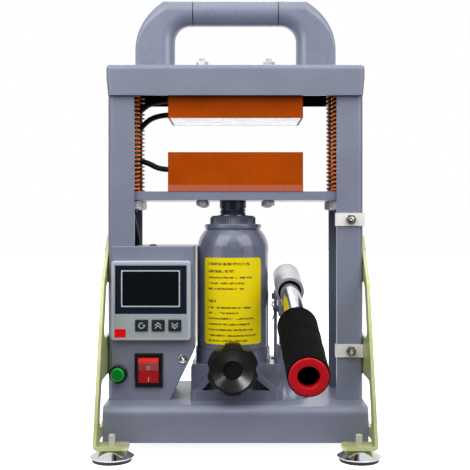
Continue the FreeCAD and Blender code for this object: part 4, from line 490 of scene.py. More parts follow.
def piece(name: str, shape: Surface, body: Body, finish: "Finish",
          node: str = "", crease: float = 35.0, run: Array | None = None) -> bpy.types.Object:
    """Make a surface a mesh object that rides on a body.

    Args:
        name: the piece's name.
        shape: its skin, in millimetres on the press's axes.
        body: the CAD body that carries it.
        finish: its finish.
        node: the CAD node that it takes the place of, if any.
        crease: edges sharper than this many degrees stay sharp.
        run: three numbers per point, kept as the attribute "run" for the finish.

    Returns:
        The object, at the origin.
    """
    mesh = bpy.data.meshes.new(name)
    mesh.from_pydata(((shape.points + BEHIND) * MM).tolist(), [], shape.quads.tolist() + shape.others)
    if run is not None:
        layer = mesh.attributes.new("run", "FLOAT_VECTOR", "POINT")
        layer.data.foreach_set("vector", np.ascontiguousarray(run, dtype=np.float32).ravel())
    mesh.shade_smooth()
    mesh.set_sharp_from_angle(angle=math.radians(crease))
    mesh.materials.append(finish.material())
    made = bpy.data.objects.new(name, mesh)
    bpy.context.scene.collection.objects.link(made)
    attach(made, body.value)
    if node:
        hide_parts(node)
    return made


# Finishes


def linear(code: str) -> Four:
    """Turn an sRGB hex colour, six digits after a hash sign, to the linear one of shaders.

    Args:
        code: the colour.

    Returns:
        Red, green, blue and a full alpha.
    """
    parts = np.array([int(code[i:i + 2], 16) for i in (1, 3, 5)]) / 255.0
    low, high = parts / 12.92, ((parts + 0.055) / 1.055) ** 2.4
    red, green, blue = np.where(parts <= 0.04045, low, high)
    return float(red), float(green), float(blue), 1.0


def add_node(tree: bpy.types.NodeTree, kind: str, inputs: dict[Any, Any] | None = None,
             **settings: Any) -> bpy.types.Node:
    """Add one node with its settings and links.

    Args:
        tree: the node tree.
        kind: the node's type after "ShaderNode".
        inputs: for each input's name or number a value, or an output to link to it.
        settings: the node's own properties.

    Returns:
        The node.
    """
    made = tree.nodes.new("ShaderNode" + kind)
    for key, value in settings.items():
        setattr(made, key, value)
    for key, value in (inputs or {}).items():
        if isinstance(value, Socket):
            tree.links.new(value, made.inputs[key])
        else:
            made.inputs[key].default_value = value
    return made


@dataclass
class Weave:
    """Shorthand for the nodes of one finish: its tree and the place on the piece."""

    tree: bpy.types.NodeTree
    place: Socket

    def math(self, operation: str, *values: Any) -> Socket:
        """One sum on numbers or outputs."""
        return add_node(self.tree, "Math", dict(enumerate(values)), operation=operation).outputs[0]

    def noise(self, size_mm: float, detail: float = 2.0, rough: float = 0.5,
              stretch: Spot = (1.0, 1.0, 1.0), warp: float = 0.0) -> Socket:
        """Soft noise of a real grain size.

        Args:
            size_mm: the size of a grain.
            detail: how many finer layers it has.
            rough: how strong the finer layers are.
            stretch: how much finer the grain is along X, Y and Z.
            warp: how far it is distorted.

        Returns:
            A value round 0.5.
        """
        spot = add_node(self.tree, "Mapping", {"Vector": self.place, "Scale": stretch})
        return add_node(self.tree, "TexNoise", {
            "Vector": spot.outputs[0], "Scale": 1 / (size_mm * MM), "Detail": detail,
            "Roughness": rough, "Distortion": warp}).outputs["Fac"]

    def ramp(self, value: Any, low: float, high: float, start: float = 0.0, end: float = 1.0
             ) -> Socket:
        """A value carried smoothly from low..high to start..end, held outside.

        Args:
            value: the value or output.
            low: where it starts to change.
            high: where it stops.
            start: what comes out at low and below.
            end: what comes out at high and above.

        Returns:
            The output.
        """
        return add_node(self.tree, "MapRange", {
            "Value": value, "From Min": low, "From Max": high, "To Min": start, "To Max": end},
            interpolation_type="SMOOTHSTEP").outputs["Result"]

    def mix(self, amount: Any, first: Any, second: Any) -> Socket:
        """Two colours mixed; a hex code or an output may be given for each.

        Args:
            amount: how much of the second one there is.
            first: one colour.
            second: the other.

        Returns:
            The output.
        """
        first, second = (linear(c) if isinstance(c, str) else c for c in (first, second))
        return add_node(self.tree, "Mix", {0: amount, 6: first, 7: second},
                        data_type="RGBA").outputs[2]

    def bump(self, height: Any, depth_mm: float, under: Any = None) -> Socket:
        """A relief of that depth, laid over another one where that is given.

        Args:
            height: the value from 0 to 1 that stands out.
            depth_mm: how far it stands out.
            under: the normal below it.

        Returns:
            The normal.
        """
        over = {} if under is None else {"Normal": under}
        return add_node(self.tree, "Bump", {"Height": height, "Distance": depth_mm * MM,
                                            "Strength": 1.0, **over}).outputs[0]

    def rim(self, radius_mm: float) -> Socket:
        """The normal of a surface whose edges are rounded by that radius."""
        return add_node(self.tree, "Bevel", {"Radius": radius_mm * MM}, samples=4).outputs[0]

    def rim_mask(self, radius_mm: float) -> Socket:
        """How far the rounded normal turns from the flat one: 0 on faces, up to 1 on edges.

        Args:
            radius_mm: the radius of the edges.

        Returns:
            The mask.
        """
        flat = add_node(self.tree, "NewGeometry").outputs["Normal"]
        both = add_node(self.tree, "VectorMath", {0: self.rim(radius_mm), 1: flat},
                        operation="DOT_PRODUCT")
        return self.ramp(both.outputs["Value"], 0.99, 0.75)

    def apart(self, vector: Any = None) -> list[Socket]:
        """The X, Y and Z of a vector, or of the place on the piece in metres."""
        made = add_node(self.tree, "SeparateXYZ", {0: self.place if vector is None else vector})
        return list(made.outputs)

    def off_axis(self, centre: Pair, square: bool = False) -> Socket:
        """How far X and Z are from an axis that runs along Y.

        It is the root of x squared + z squared, or on a square the greater of |x| and |z|.

        Args:
            centre: the axis' X and Z in millimetres.
            square: whether the outline round it is square.

        Returns:
            The way in metres.
        """
        across, _, height = self.apart()
        x = self.math("SUBTRACT", across, centre[0] * MM)
        z = self.math("SUBTRACT", height, centre[1] * MM)
        if square:
            return self.math("MAXIMUM", self.math("ABSOLUTE", x), self.math("ABSOLUTE", z))
        return self.math("SQRT", self.math("ADD", self.math("MULTIPLY", x, x),
                                           self.math("MULTIPLY", z, z)))


@dataclass(frozen=True)
class Finish:
    """A finish: the values of its shader, the same all over, and a pattern that subclasses give."""

    name: str
    colour: str
    roughness: float = 0.4
    metallic: float = 0.0
    ior: float = 1.5
    coat: float = 0.0
    coat_roughness: float = 0.05
    specular: float = 0.5
    edge_mm: float = 0.5

    def material(self) -> bpy.types.Material:
        """The Blender material of this finish, made once and then shared."""
        known = bpy.data.materials.get(self.name)
        if known:
            return known
        made = bpy.data.materials.new(self.name)
        made.use_nodes = True
        made.diffuse_color = linear(self.colour)
        tree = made.node_tree
        shader = tree.nodes["Principled BSDF"]
        for key, value in {"Base Color": linear(self.colour), "Roughness": self.roughness,
                           "Metallic": self.metallic, "IOR": self.ior, "Coat Weight": self.coat,
                           "Coat Roughness": self.coat_roughness,
                           "Specular IOR Level": self.specular}.items():
            shader.inputs[key].default_value = value
        place = add_node(tree, "TexCoord").outputs["Object"]
        for key, output in self.pattern(Weave(tree, place)).items():
            tree.links.new(output, shader.inputs[key])
        return made

    def pattern(self, on: Weave) -> Looks:
        """What varies over the surface.

        Args:
            on: the tree to weave the pattern in.

        Returns:
            A shader input's name to the output that feeds it.
        """
        return {"Normal": on.rim(self.edge_mm)}


@dataclass(frozen=True)
class PowderCoat(Finish):
    """Polyester powder baked on sheet steel: a fine orange peel, thinner on edges and paler there, the
    paleness partly a painted highlight.
    """

    drift_mm: float = 38.0
    gloss_mm: float = 6.0
    gloss_swing: float = 0.05
    peel_mm: float = 1.1
    peel_depth_mm: float = 0.012
    thin_edge_and_highlight_colour: str = "#999eb0"
    paler_edges: float = 0.45
    shade_colour: str = "#81869a"
    painted_shade_half_depth: float = 0.0
    painted_shade_top: float = 0.0
    shade_and_seam_colour: str = "#1b1c20"
    seam_at: float = 0.0
    seam_width: float = 0.9
    seam_above: float = 380.0

    def pattern(self, on: Weave) -> Looks:
        """Slow drift of tone, paler edges that are partly a painted highlight, and the peel's relief
        over rounded edges.

        Args:
            on: the tree to weave it in.

        Returns:
            Shader inputs' names to the outputs that feed them.
        """
        tone = on.mix(on.ramp(on.noise(self.drift_mm, 3.0), 0.35, 0.65), self.colour, self.shade_colour)
        # Paler edges: partly the coat's own thinning, partly a painted highlight on the rounded edges
        if self.paler_edges:
            edges = on.math("MULTIPLY", on.rim_mask(self.edge_mm), self.paler_edges)
            tone = on.mix(edges, tone, self.thin_edge_and_highlight_colour)
        across, depth, height = on.apart()
        if self.painted_shade_top:
            # Painted shade: the inside of the top beam, deep in shadow, is coloured near black
            behind = on.math("ABSOLUTE", on.math("SUBTRACT", depth, MIDDLE_Y * MM))
            inside = on.math("MULTIPLY",
                             on.math("LESS_THAN", behind, self.painted_shade_half_depth * MM),
                             on.math("LESS_THAN", height, self.painted_shade_top * MM))
            tone = on.mix(inside, tone, self.shade_and_seam_colour)
        if self.seam_at:
            # The open joint between two castings, seen as a dark line
            off = on.math("SUBTRACT", on.math("ABSOLUTE", across), self.seam_at * MM)
            joint = on.math("MULTIPLY",
                            on.math("LESS_THAN", on.math("ABSOLUTE", off), self.seam_width / 2 * MM),
                            on.math("GREATER_THAN", height, self.seam_above * MM))
            tone = on.mix(joint, tone, self.shade_and_seam_colour)
        gloss = on.ramp(on.noise(self.gloss_mm), 0.2, 0.8, self.roughness - self.gloss_swing,
                        self.roughness + self.gloss_swing)
        peel = on.bump(on.noise(self.peel_mm, 1.0), self.peel_depth_mm, on.rim(self.edge_mm))
        return {"Base Color": tone, "Roughness": gloss, "Normal": peel}


@dataclass(frozen=True)
class Enamel(Finish):
    """Gloss enamel sprayed on steel or a casting: a wet coat with long soft waves."""

    drift_mm: float = 22.0
    wave_mm: float = 4.5
    wave_depth_mm: float = 0.02
    dark_colour: str = "#5f6475"

    def pattern(self, on: Weave) -> Looks:
        """Slightly darker where the coat runs thick, and its long waves.

        Args:
            on: the tree to weave it in.

        Returns:
            Shader inputs' names to the outputs that feed them.
        """
        tone = on.mix(on.ramp(on.noise(self.drift_mm, 3.0), 0.3, 0.8), self.colour, self.dark_colour)
        waves = on.bump(on.noise(self.wave_mm, 1.0), self.wave_depth_mm, on.rim(self.edge_mm))
        return {"Base Color": tone, "Normal": waves}


@dataclass(frozen=True)
class Plating(Finish):
    """Electroplated metal: bright, with cloudy stains and fine rolling marks below."""

    stain_colour: str = "#b9b8b2"
    stain_mm: float = 14.0
    mark_mm: float = 0.5
    mark_stretch: Point = (1.0, 1.0, 0.06)
    mark_depth_mm: float = 0.004

    def pattern(self, on: Weave) -> Looks:
        """Clouds of a second tint, uneven gloss, and the marks of the metal below.

        Args:
            on: the tree to weave it in.

        Returns:
            Shader inputs' names to the outputs that feed them.
        """
        clouds = on.ramp(on.noise(self.stain_mm, 4.0, 0.6, warp=0.6), 0.35, 0.7)
        gloss = on.ramp(on.noise(self.stain_mm / 3, 3.0), 0.2, 0.8, self.roughness * 0.75,
                        min(1.0, self.roughness * 1.3))
        marks = on.noise(self.mark_mm, 2.0, stretch=self.mark_stretch)
        return {"Base Color": on.mix(clouds, self.colour, self.stain_colour), "Roughness": gloss,
                "Normal": on.bump(marks, self.mark_depth_mm, on.rim(self.edge_mm))}


@dataclass(frozen=True)
class BoredPlating(Plating):
    """Plating on the lever's tube, with painted shade in its bore, which is coloured near black."""

    bore_mm: float = 7.3
    bore_shade_colour: str = "#030303"

    def pattern(self, on: Weave) -> Looks:
        """Painted shade: dark where the way off the lever's axis, |p x axis|, is under the bore's
        radius.

        Args:
            on: the tree to weave it in.

        Returns:
            Shader inputs' names to the outputs that feed them.
        """
        made = super().pattern(on)
        foot = [value * MM for value in np.add(LEVER_FOOT, BEHIND)]
        arm = add_node(on.tree, "VectorMath", {0: on.place, 1: foot}, operation="SUBTRACT")
        swept = add_node(on.tree, "VectorMath", {0: arm.outputs[0], 1: LEVER_WAY},
                         operation="CROSS_PRODUCT")
        off = add_node(on.tree, "VectorMath", {0: swept.outputs[0]}, operation="LENGTH")
        inside = on.math("LESS_THAN", off.outputs["Value"], self.bore_mm * MM)
        return {**made, "Base Color": on.mix(inside, made["Base Color"], self.bore_shade_colour)}


@dataclass(frozen=True)
class FootPlating(Plating):
    """A screw foot: its cone is bright chrome, and the stud above it dull zinc."""

    stud_from: float = 10.5
    step_soft: float = 0.1
    stud_colour: str = "#c9cbbd"
    stud_metallic: float = 0.2
    stud_roughness: float = 0.4

    def pattern(self, on: Weave) -> Looks:
        """The height above the floor tells the cone from the stud.

        Args:
            on: the tree to weave it in.

        Returns:
            Shader inputs' names to the outputs that feed them.
        """
        made = super().pattern(on)
        height = on.apart()[2]
        step = [(self.stud_from + soft) * MM for soft in (-self.step_soft, self.step_soft)]
        return {**made,
                "Base Color": on.mix(on.ramp(height, *step), made["Base Color"], self.stud_colour),
                "Metallic": on.ramp(height, *step, self.metallic, self.stud_metallic),
                "Roughness": on.ramp(height, *step, self.roughness, self.stud_roughness)}


@dataclass(frozen=True)
class Grained(Finish):
    """A moulded or pressed stuff with a grain and specks of its own: plastics, rubber, board."""

    grain_mm: float = 0.5
    grain_depth_mm: float = 0.02
    speck_colour: str = "#808080"
    speck_mm: float = 2.0
    speck_share: float = 0.3

    def pattern(self, on: Weave) -> Looks:
        """Specks of a second tint and the mould's grain.

        Args:
            on: the tree to weave it in.

        Returns:
            Shader inputs' names to the outputs that feed them.
        """
        specks = on.ramp(on.noise(self.speck_mm, 4.0, 0.65), 0.52, 0.75, 0.0, self.speck_share)
        grain = on.bump(on.noise(self.grain_mm, 2.0), self.grain_depth_mm, on.rim(self.edge_mm))
        gloss = on.ramp(on.noise(self.speck_mm * 3, 2.0), 0.3, 0.7, self.roughness * 0.9,
                        min(1.0, self.roughness * 1.1))
        return {"Base Color": on.mix(specks, self.colour, self.speck_colour),
                "Roughness": gloss, "Normal": grain}


@dataclass(frozen=True)
class KnobMoulding(Grained):
    """A phenolic knob: its dished face is polished, its lobed rim is left satin."""

    centre: Pair = (JACK_X, 71.7)
    polished_mm: float = 19.4
    rim_coat: float = 0.15

    def pattern(self, on: Weave) -> Looks:
        """The way off the knob's axis sets the gloss."""
        coat = on.ramp(on.off_axis(self.centre), self.polished_mm * MM,
                       (self.polished_mm + 0.3) * MM, self.coat, self.rim_coat)
        return {**super().pattern(on), "Coat Weight": coat}


@dataclass(frozen=True)
class FoamSkin(Finish):
    """Closed-cell foam rubber: cut cells leave a field of small dark pores on a dull skin."""

    pore_mm: float = 0.9
    pore_depth_mm: float = 0.12
    pore_colour: str = "#050505"
    swell_mm: float = 5.0
    swell_depth_mm: float = 0.25

    def pattern(self, on: Weave) -> Looks:
        """Pores in the middle of each open cell, over a slow unevenness of the skin.

        Args:
            on: the tree to weave it in.

        Returns:
            Shader inputs' names to the outputs that feed them.
        """
        pores = add_node(on.tree, "TexVoronoi",
                         {"Vector": on.place, "Scale": 1 / (self.pore_mm * MM)})
        cells = on.ramp(pores.outputs["Distance"], 0.15, 0.5)
        soft = on.bump(on.noise(self.swell_mm), self.swell_depth_mm)
        return {"Base Color": on.mix(cells, self.pore_colour, self.colour),
                "Normal": on.bump(cells, self.pore_depth_mm, soft)}


@dataclass(frozen=True)
class Braid(Finish):
    """A braided glass sleeve: two sets of flat strands that cross over and under each other.

    It reads the attribute "run": cosine and sine round the lead, and the way along it in mm.
    """

    strands: int = 12
    pitch_mm: float = 3.2
    strand_depth_mm: float = 0.18
    gap_colour: str = "#020202"

    def pattern(self, on: Weave) -> Looks:
        """Each set's strands are waves of angle plus and minus the way along.

        Args:
            on: the tree to weave it in.

        Returns:
            Shader inputs' names to the outputs that feed them.
        """
        run = add_node(on.tree, "Attribute", attribute_name="run").outputs["Vector"]
        cosine, sine, along = on.apart(run)
        angle = on.math("MULTIPLY", on.math("ARCTAN2", sine, cosine), self.strands / 2)
        way = on.math("MULTIPLY", along, TURN / self.pitch_mm)
        one, two = (on.math("ABSOLUTE", on.math("SINE", on.math(kind, angle, way)))
                    for kind in ("ADD", "SUBTRACT"))
        over = on.math("MAXIMUM", one, two)
        return {"Base Color": on.mix(on.ramp(over, 0.45, 0.95), self.gap_colour, self.colour),
                "Normal": on.bump(over, self.strand_depth_mm)}


@dataclass(frozen=True)
class Banded(Finish):
    """A moulding with a painted highlight: a lit level band, laid on softly from one height to another.
    """

    low: float = 0.0
    high: float = 0.0
    highlight_band_colour: str = "#ffffff"
    band_blur: float = 1.2
    film_mm: float = 9.0
    film_depth_mm: float = 0.01

    def pattern(self, on: Weave) -> Looks:
        """The painted highlight band is a smooth step up times a smooth step down.

        Args:
            on: the tree to weave it in.

        Returns:
            Shader inputs' names to the outputs that feed them.
        """
        height, soft = on.apart()[2], self.band_blur * MM
        rise = on.ramp(height, self.low * MM - soft, self.low * MM)
        fall = on.ramp(height, self.high * MM, self.high * MM + soft, 1.0, 0.0)
        film = on.bump(on.noise(self.film_mm, 2.0), self.film_depth_mm, on.rim(self.edge_mm))
        return {"Base Color": on.mix(on.math("MULTIPLY", rise, fall), self.colour,
                                     self.highlight_band_colour), "Normal": film}


@dataclass(frozen=True)
class PrintedFilm(Finish):
    """A label film with rows of small print that can't be read.

    Each row is (middle, height, end): its level in the press's own Z, how tall its letters are
    and where it stops along X, in millimetres.
    """

    rows: tuple[Point, ...] = ()
    row_start: float = -25.0
    ink: str = "#463c08"
    row_soft: float = 0.3
    word_mm: float = 6.0
    letter_mm: float = 1.0
    film_mm: float = 9.0
    film_depth_mm: float = 0.01

    def pattern(self, on: Weave) -> Looks:
        """Ink where the level is in a row, broken into words and, below them, into letters.

        Args:
            on: the tree to weave it in.

        Returns:
            Shader inputs' names to the outputs that feed them.
        """
        across, _, height = on.apart()
        mask: Any = 0.0
        for middle, tall, end in self.rows:
            away = on.math("ABSOLUTE", on.math("SUBTRACT", height, middle * MM))
            line = on.ramp(away, tall / 2 * MM, (tall / 2 + self.row_soft) * MM, 1.0, 0.0)
            stop = on.math("LESS_THAN", across, end * MM)
            mask = on.math("MAXIMUM", mask, on.math("MULTIPLY", line, stop))
        start = on.math("GREATER_THAN", across, self.row_start * MM)
        words = on.ramp(on.noise(self.word_mm, 1.0, stretch=(1.0, 0.2, 1.6)), 0.34, 0.38)
        letters = on.ramp(on.noise(self.letter_mm, 2.0, stretch=(1.0, 0.2, 0.5)), 0.4, 0.55,
                          0.25, 0.9)
        inked = on.math("MULTIPLY", on.math("MULTIPLY", mask, start),
                        on.math("MULTIPLY", words, letters))
        return {"Base Color": on.mix(inked, self.colour, self.ink),
                "Normal": on.bump(on.noise(self.film_mm), self.film_depth_mm)}


@dataclass(frozen=True)
class Bezelled(Finish):
    """A moulding whose rim differs from its field, on a square or a round outline."""

    rim_colour: str = "#ffffff"
    centre: Pair = (0.0, 0.0)
    half: float = 10.0
    rim_width: float = 2.5
    rim_soft: float = 0.2
    square: bool = True
    grain_mm: float = 0.7
    grain_depth_mm: float = 0.015

    def pattern(self, on: Weave) -> Looks:
        """The way out from the centre against the rim's inner edge.

        Args:
            on: the tree to weave it in.

        Returns:
            Shader inputs' names to the outputs that feed them.
        """
        edge, soft = (self.half - self.rim_width) * MM, self.rim_soft * MM
        mask = on.ramp(on.off_axis(self.centre, self.square), edge - soft, edge + soft)
        grain = on.bump(on.noise(self.grain_mm, 1.0), self.grain_depth_mm, on.rim(self.edge_mm))
        return {"Base Color": on.mix(mask, self.colour, self.rim_colour), "Normal": grain}


POWDER_GREY = PowderCoat("powder_coated_steel", "#868b9f", 0.36, coat=0.15, coat_roughness=0.2)
# The top beam's inside is coloured near black as painted shade
POWDER_BEAM = replace(POWDER_GREY, name="powder_coated_top_beam", painted_shade_half_depth=36.1,
                      painted_shade_top=341.45)
CAST_GREY = replace(POWDER_GREY, name="powder_coated_casting", roughness=0.3, coat=0.25,
                    coat_roughness=0.15, peel_mm=1.8, peel_depth_mm=0.004, paler_edges=0.0,
                    seam_at=40.3)
ORANGE_ENAMEL = PowderCoat("orange_baked_enamel", "#b54900", 0.45, specular=0.06, edge_mm=0.6,
                           thin_edge_and_highlight_colour="#d5701c", shade_colour="#a94300", peel_mm=1.4)
JACK_ENAMEL = Enamel("jack_gloss_enamel", "#767b8e", 0.22, coat=0.6, coat_roughness=0.04,
                     edge_mm=0.8)
JACK_DARK = Enamel("jack_top_enamel", "#63677a", 0.32, coat=0.3, dark_colour="#4a4e5d",
                   edge_mm=0.6)
SPRING_ENAMEL = Enamel("orange_spring_enamel", "#f5841c", 0.35, coat=0.2, dark_colour="#dc6a10",
                       wave_mm=3.0, wave_depth_mm=0.01, edge_mm=0.2)
LINK_PAINT = Enamel("pale_link_enamel", "#989cab", 0.3, coat=0.3, dark_colour="#868a99")
SOCKET_PAINT = Enamel("pale_grey_lever_paint", "#a4a7ae", 0.26, coat=0.4, dark_colour="#8f9299",
                      edge_mm=0.8)
YELLOW_ZINC = Plating("yellow_passivated_zinc", "#ccd28a", 0.38, 0.45, stain_colour="#d9dab0",
                      stain_mm=18.0, mark_mm=1.2)
BRIGHT_ZINC = Plating("bright_zinc_plating", "#d0d2d4", 0.22, 1.0, stain_colour="#c2c5ca",
                      stain_mm=12.0, mark_depth_mm=0.001, edge_mm=0.2)
PALE_ZINC = Plating("pale_zinc_bolt", "#e4e4e6", 0.3, 0.35, stain_colour="#d2d4d8",
                    stain_mm=8.0, mark_depth_mm=0.001, edge_mm=0.25)
CLIP_ZINC = Plating("pale_zinc_clip", "#fbfaf7", 0.45, stain_colour="#f3f1ec", stain_mm=9.0,
                    edge_mm=0.4)
DARK_BOLT = Plating("blackened_bolt_steel", "#77736e", 0.35, 0.4, stain_colour="#605c58",
                    stain_mm=6.0, edge_mm=0.3)
BLACK_OXIDE = Plating("black_oxide_steel", "#4a4f61", 0.32, 0.35, stain_colour="#565c70",
                      stain_mm=8.0, edge_mm=0.4)
# How the marks of drawing, grinding and milling are stretched: not at all, round Z, along X
EVEN, ROUND_Z, ALONG_X = (1.0, 1.0, 1.0), (0.08, 0.08, 1.0), (0.05, 1.0, 1.0)
TUBE_CHROME = BoredPlating("chrome_lever_tube", "#d6d8dc", 0.12, 1.0, stain_colour="#c9ccd1",
                           stain_mm=20.0, mark_mm=3.0, mark_stretch=EVEN, mark_depth_mm=0.002,
                           edge_mm=0.3)
FOOT_CHROME = FootPlating("chromed_screw_foot", "#d6d8dc", 0.07, 1.0, stain_colour="#c9ccd1",
                          stain_mm=20.0, mark_mm=3.0, mark_stretch=EVEN, mark_depth_mm=0.002,
                          edge_mm=0.3)
# Painted shade: the guide rods are coloured dark so that the gaps between the spring coils read as
# shade
SHADE_DARK_ROD_STEEL = Plating("guide_steel_darkened_as_shade", "#3b383a", 0.35, 0.7, stain_colour="#2c2a2c",
                      mark_mm=0.4, mark_stretch=ROUND_Z)
GROUND_STEEL = Plating("ground_steel", "#b4b6ba", 0.2, 1.0, stain_colour="#a2a5aa", mark_mm=0.4,
                       mark_stretch=ROUND_Z, mark_depth_mm=0.006)
MILLED_ALUMINIUM = Plating("milled_aluminium", "#c4c6c9", 0.33, 1.0, stain_colour="#b3b5b9",
                           mark_mm=0.8, mark_stretch=ALONG_X, mark_depth_mm=0.012, edge_mm=0.4)
HEATER_STEEL = Plating("oxidised_stainless_steel", "#8d8a84", 0.3, 1.0, stain_colour="#a58e6a",
                       stain_mm=5.0)
INSULATION = Grained("pressed_mica_board", "#bd5a38", 0.75, grain_mm=0.4, grain_depth_mm=0.05,
                     speck_colour="#dd8c66", speck_mm=1.6, speck_share=0.6, edge_mm=0.3)
BLACK_ABS = Grained("black_moulded_abs", "#121317", 0.3, coat=0.2, grain_mm=0.6,
                    grain_depth_mm=0.006, speck_colour="#1c1d22", edge_mm=0.4)
KNOB_PHENOLIC = KnobMoulding("black_polished_phenolic", "#0b0b0d", 0.45, specular=0.15, coat=1.0,
                             coat_roughness=0.22, grain_mm=4.0, grain_depth_mm=0.006,
                             speck_colour="#121216", edge_mm=0.8)
RUBBER = Grained("black_foot_rubber", "#151515", 0.65, ior=1.52, grain_depth_mm=0.04,
                 speck_colour="#262626", edge_mm=0.4)
RED_VINYL = Grained("red_dipped_vinyl", "#f00c20", 0.4, grain_mm=0.8, speck_colour="#e2263a",
                    speck_mm=3.0)
NAVY_KEY = Grained("navy_rubber_key", "#1d2430", 0.45, grain_depth_mm=0.01,
                   speck_colour="#2a3342")
SCREEN_FIELD = Grained("navy_tinted_acrylic", "#1b2233", 0.12, ior=1.49, coat=0.4, grain_mm=6.0,
                       grain_depth_mm=0.004, speck_colour="#1f2739", edge_mm=0.3)
SCREEN_GLASS = Grained("black_screen_glass", "#11151b", 0.06, ior=1.49, grain_mm=8.0,
                       grain_depth_mm=0.002, speck_colour="#090b12", edge_mm=0.1)
PRINT_LIGHT = Grained("pale_screen_print", "#c9ccd0", 0.5, grain_mm=0.3, grain_depth_mm=0.004,
                      speck_colour="#b7babf", edge_mm=0.05)
PRINT_RED = replace(PRINT_LIGHT, name="red_screen_print", colour="#f50818", specular=0.15,
                    speck_colour="#c40f1a")
PRINT_PALE_RED = replace(PRINT_LIGHT, name="pale_mark_print", colour="#eecfca", roughness=0.4,
                         speck_colour="#e2bdb7")
FOAM = FoamSkin("nitrile_foam_skin", "#0b0909", 0.9, specular=0.08)
SLEEVE = Braid("black_braided_glass_sleeve", "#17171a", 0.55)
CASE_ABS = Bezelled("grey_moulded_abs", "#a9b2b5", 0.45, rim_colour="#bfc4d2",
                    centre=(-76.4, 130.8), half=36.0)
# The rocker's raised top end, lit from above, is a painted highlight band
ROCKER_RED = Banded("red_polycarbonate", "#b3121c", 0.3, coat=0.2, low=74.8, high=78.9,
                    highlight_band_colour="#f01a10")
BUTTON_GREEN = Bezelled("green_moulded_acrylic", "#068a2c", 0.28, ior=1.49, specular=0.2,
                        rim_colour="#1fae48", centre=(-106.4, 64.0), half=6.2, rim_width=1.5,
                        square=False)


# The press's pieces


@dataclass
class ReturnSprings:
    """The four wound springs on the guide rods, with a closed turn at each end."""

    low: float = 230.0
    high: float = 333.0
    mean_radius: float = 6.6
    wire: float = 1.8
    turns: int = 27
    steps_per_turn: int = 30
    sides: int = 10
    keep: float = 0.696

    def coil(self) -> Surface:
        """One spring about the Z axis.

        The wire's middle is (r cos a, r sin a, z(a)); z rises by one wire in the first and the
        last turn and evenly between them.

        Returns:
            The wire as a tube with its ends closed.
        """
        angle = np.linspace(0.0, self.turns * TURN, self.turns * self.steps_per_turn + 1)
        bottom, top = self.low + self.wire / 2, self.high - self.wire / 2
        knots = np.array((0.0, TURN, (self.turns - 1) * TURN, self.turns * TURN))
        levels = np.array((bottom, bottom + self.wire, top - self.wire, top))
        radial = np.column_stack((np.cos(angle), np.sin(angle), np.zeros_like(angle)))
        path = radial * self.mean_radius + np.outer(np.interp(angle, knots, levels), (0, 0, 1))
        return tube(path, self.wire / 2, self.sides, radial)

    def build(self) -> None:
        """Wind the four springs."""
        made = piece("return_springs_wound", self.coil().at_all(four_places(*RODS)), Body.FRAME,
                     SPRING_ENAMEL, "return_springs", 60.0)
        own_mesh(made)
        LOG.info("return springs: %d turns, mean radius %.1f mm", self.turns, self.mean_radius)


@dataclass
class Leads:
    """Heater and sensor leads in braided sleeves, from the plates down to the control box."""

    diameter: float = 5.2
    steps: int = 12
    sides: int = 20
    upper: tuple[tuple[Point, ...], ...] = (
        ((-60.0, -10.0, 316.0), (-75.99, -10.0, 316.0), (-90.996, -10.0, 306.0),
         (-100.016, -8.0, 289.0), (-101.0, -7.5, 258.0), (-101.0, -7.0, 226.0),
         (-101.4, 9.5, 205.0), (-102.0, 27.5, 183.0), (-102.0, 27.5, 150.0)),
        ((-60.0, 8.0, 305.0), (-75.99, 8.0, 305.0), (-90.996, 9.0, 294.0),
         (-99.483, 8.0, 276.0), (-101.0, 7.5, 250.0), (-100.5, 7.0, 214.0),
         (-97.5, 17.0, 198.0), (-95.5, 27.5, 183.0), (-95.5, 27.5, 150.0)))
    lower: tuple[Point, ...] = (
        (-60.0, 0.0, 252.0), (-71.98, 0.0, 252.0), (-83.181, -0.4, 258.4), (-94.09, 0.3, 260.8),
        (-103.294, 0.0, 257.1), (-108.7, 0.0, 248.6), (-108.5, -0.5, 229.0),
        (-108.7, 13.0, 209.0), (-108.7, 28.3, 186.0), (-108.6, 28.4, 150.0))

    def lead(self, name: str, route: Sequence[Spot], body: Body, node: str) -> None:
        """Args:
            name: its piece name.
            route: its corner points.
            body: what carries it.
            node: the CAD node that it stands for.
        """
        line = smooth_line(route, self.steps)
        way = np.concatenate(((0.0,), np.cumsum(np.linalg.norm(np.diff(line, axis=0), axis=1))))
        made = piece(name, tube(line, self.diameter / 2, self.sides), body, SLEEVE,
                     node, 60.0, round_rows(1.0, way[:, None], circle(self.sides)))
        LOG.info("%s: %.0f mm long", name, way[-1])

    def build(self) -> None:
        """Lay the three leads."""
        for index, route in enumerate(self.upper):
            self.lead(f"upper_lead_{index + 1}", route, Body.FRAME, "upper_leads")
        self.lead("lower_lead_braided", self.lower, Body.CARRIAGE, "lower_lead")


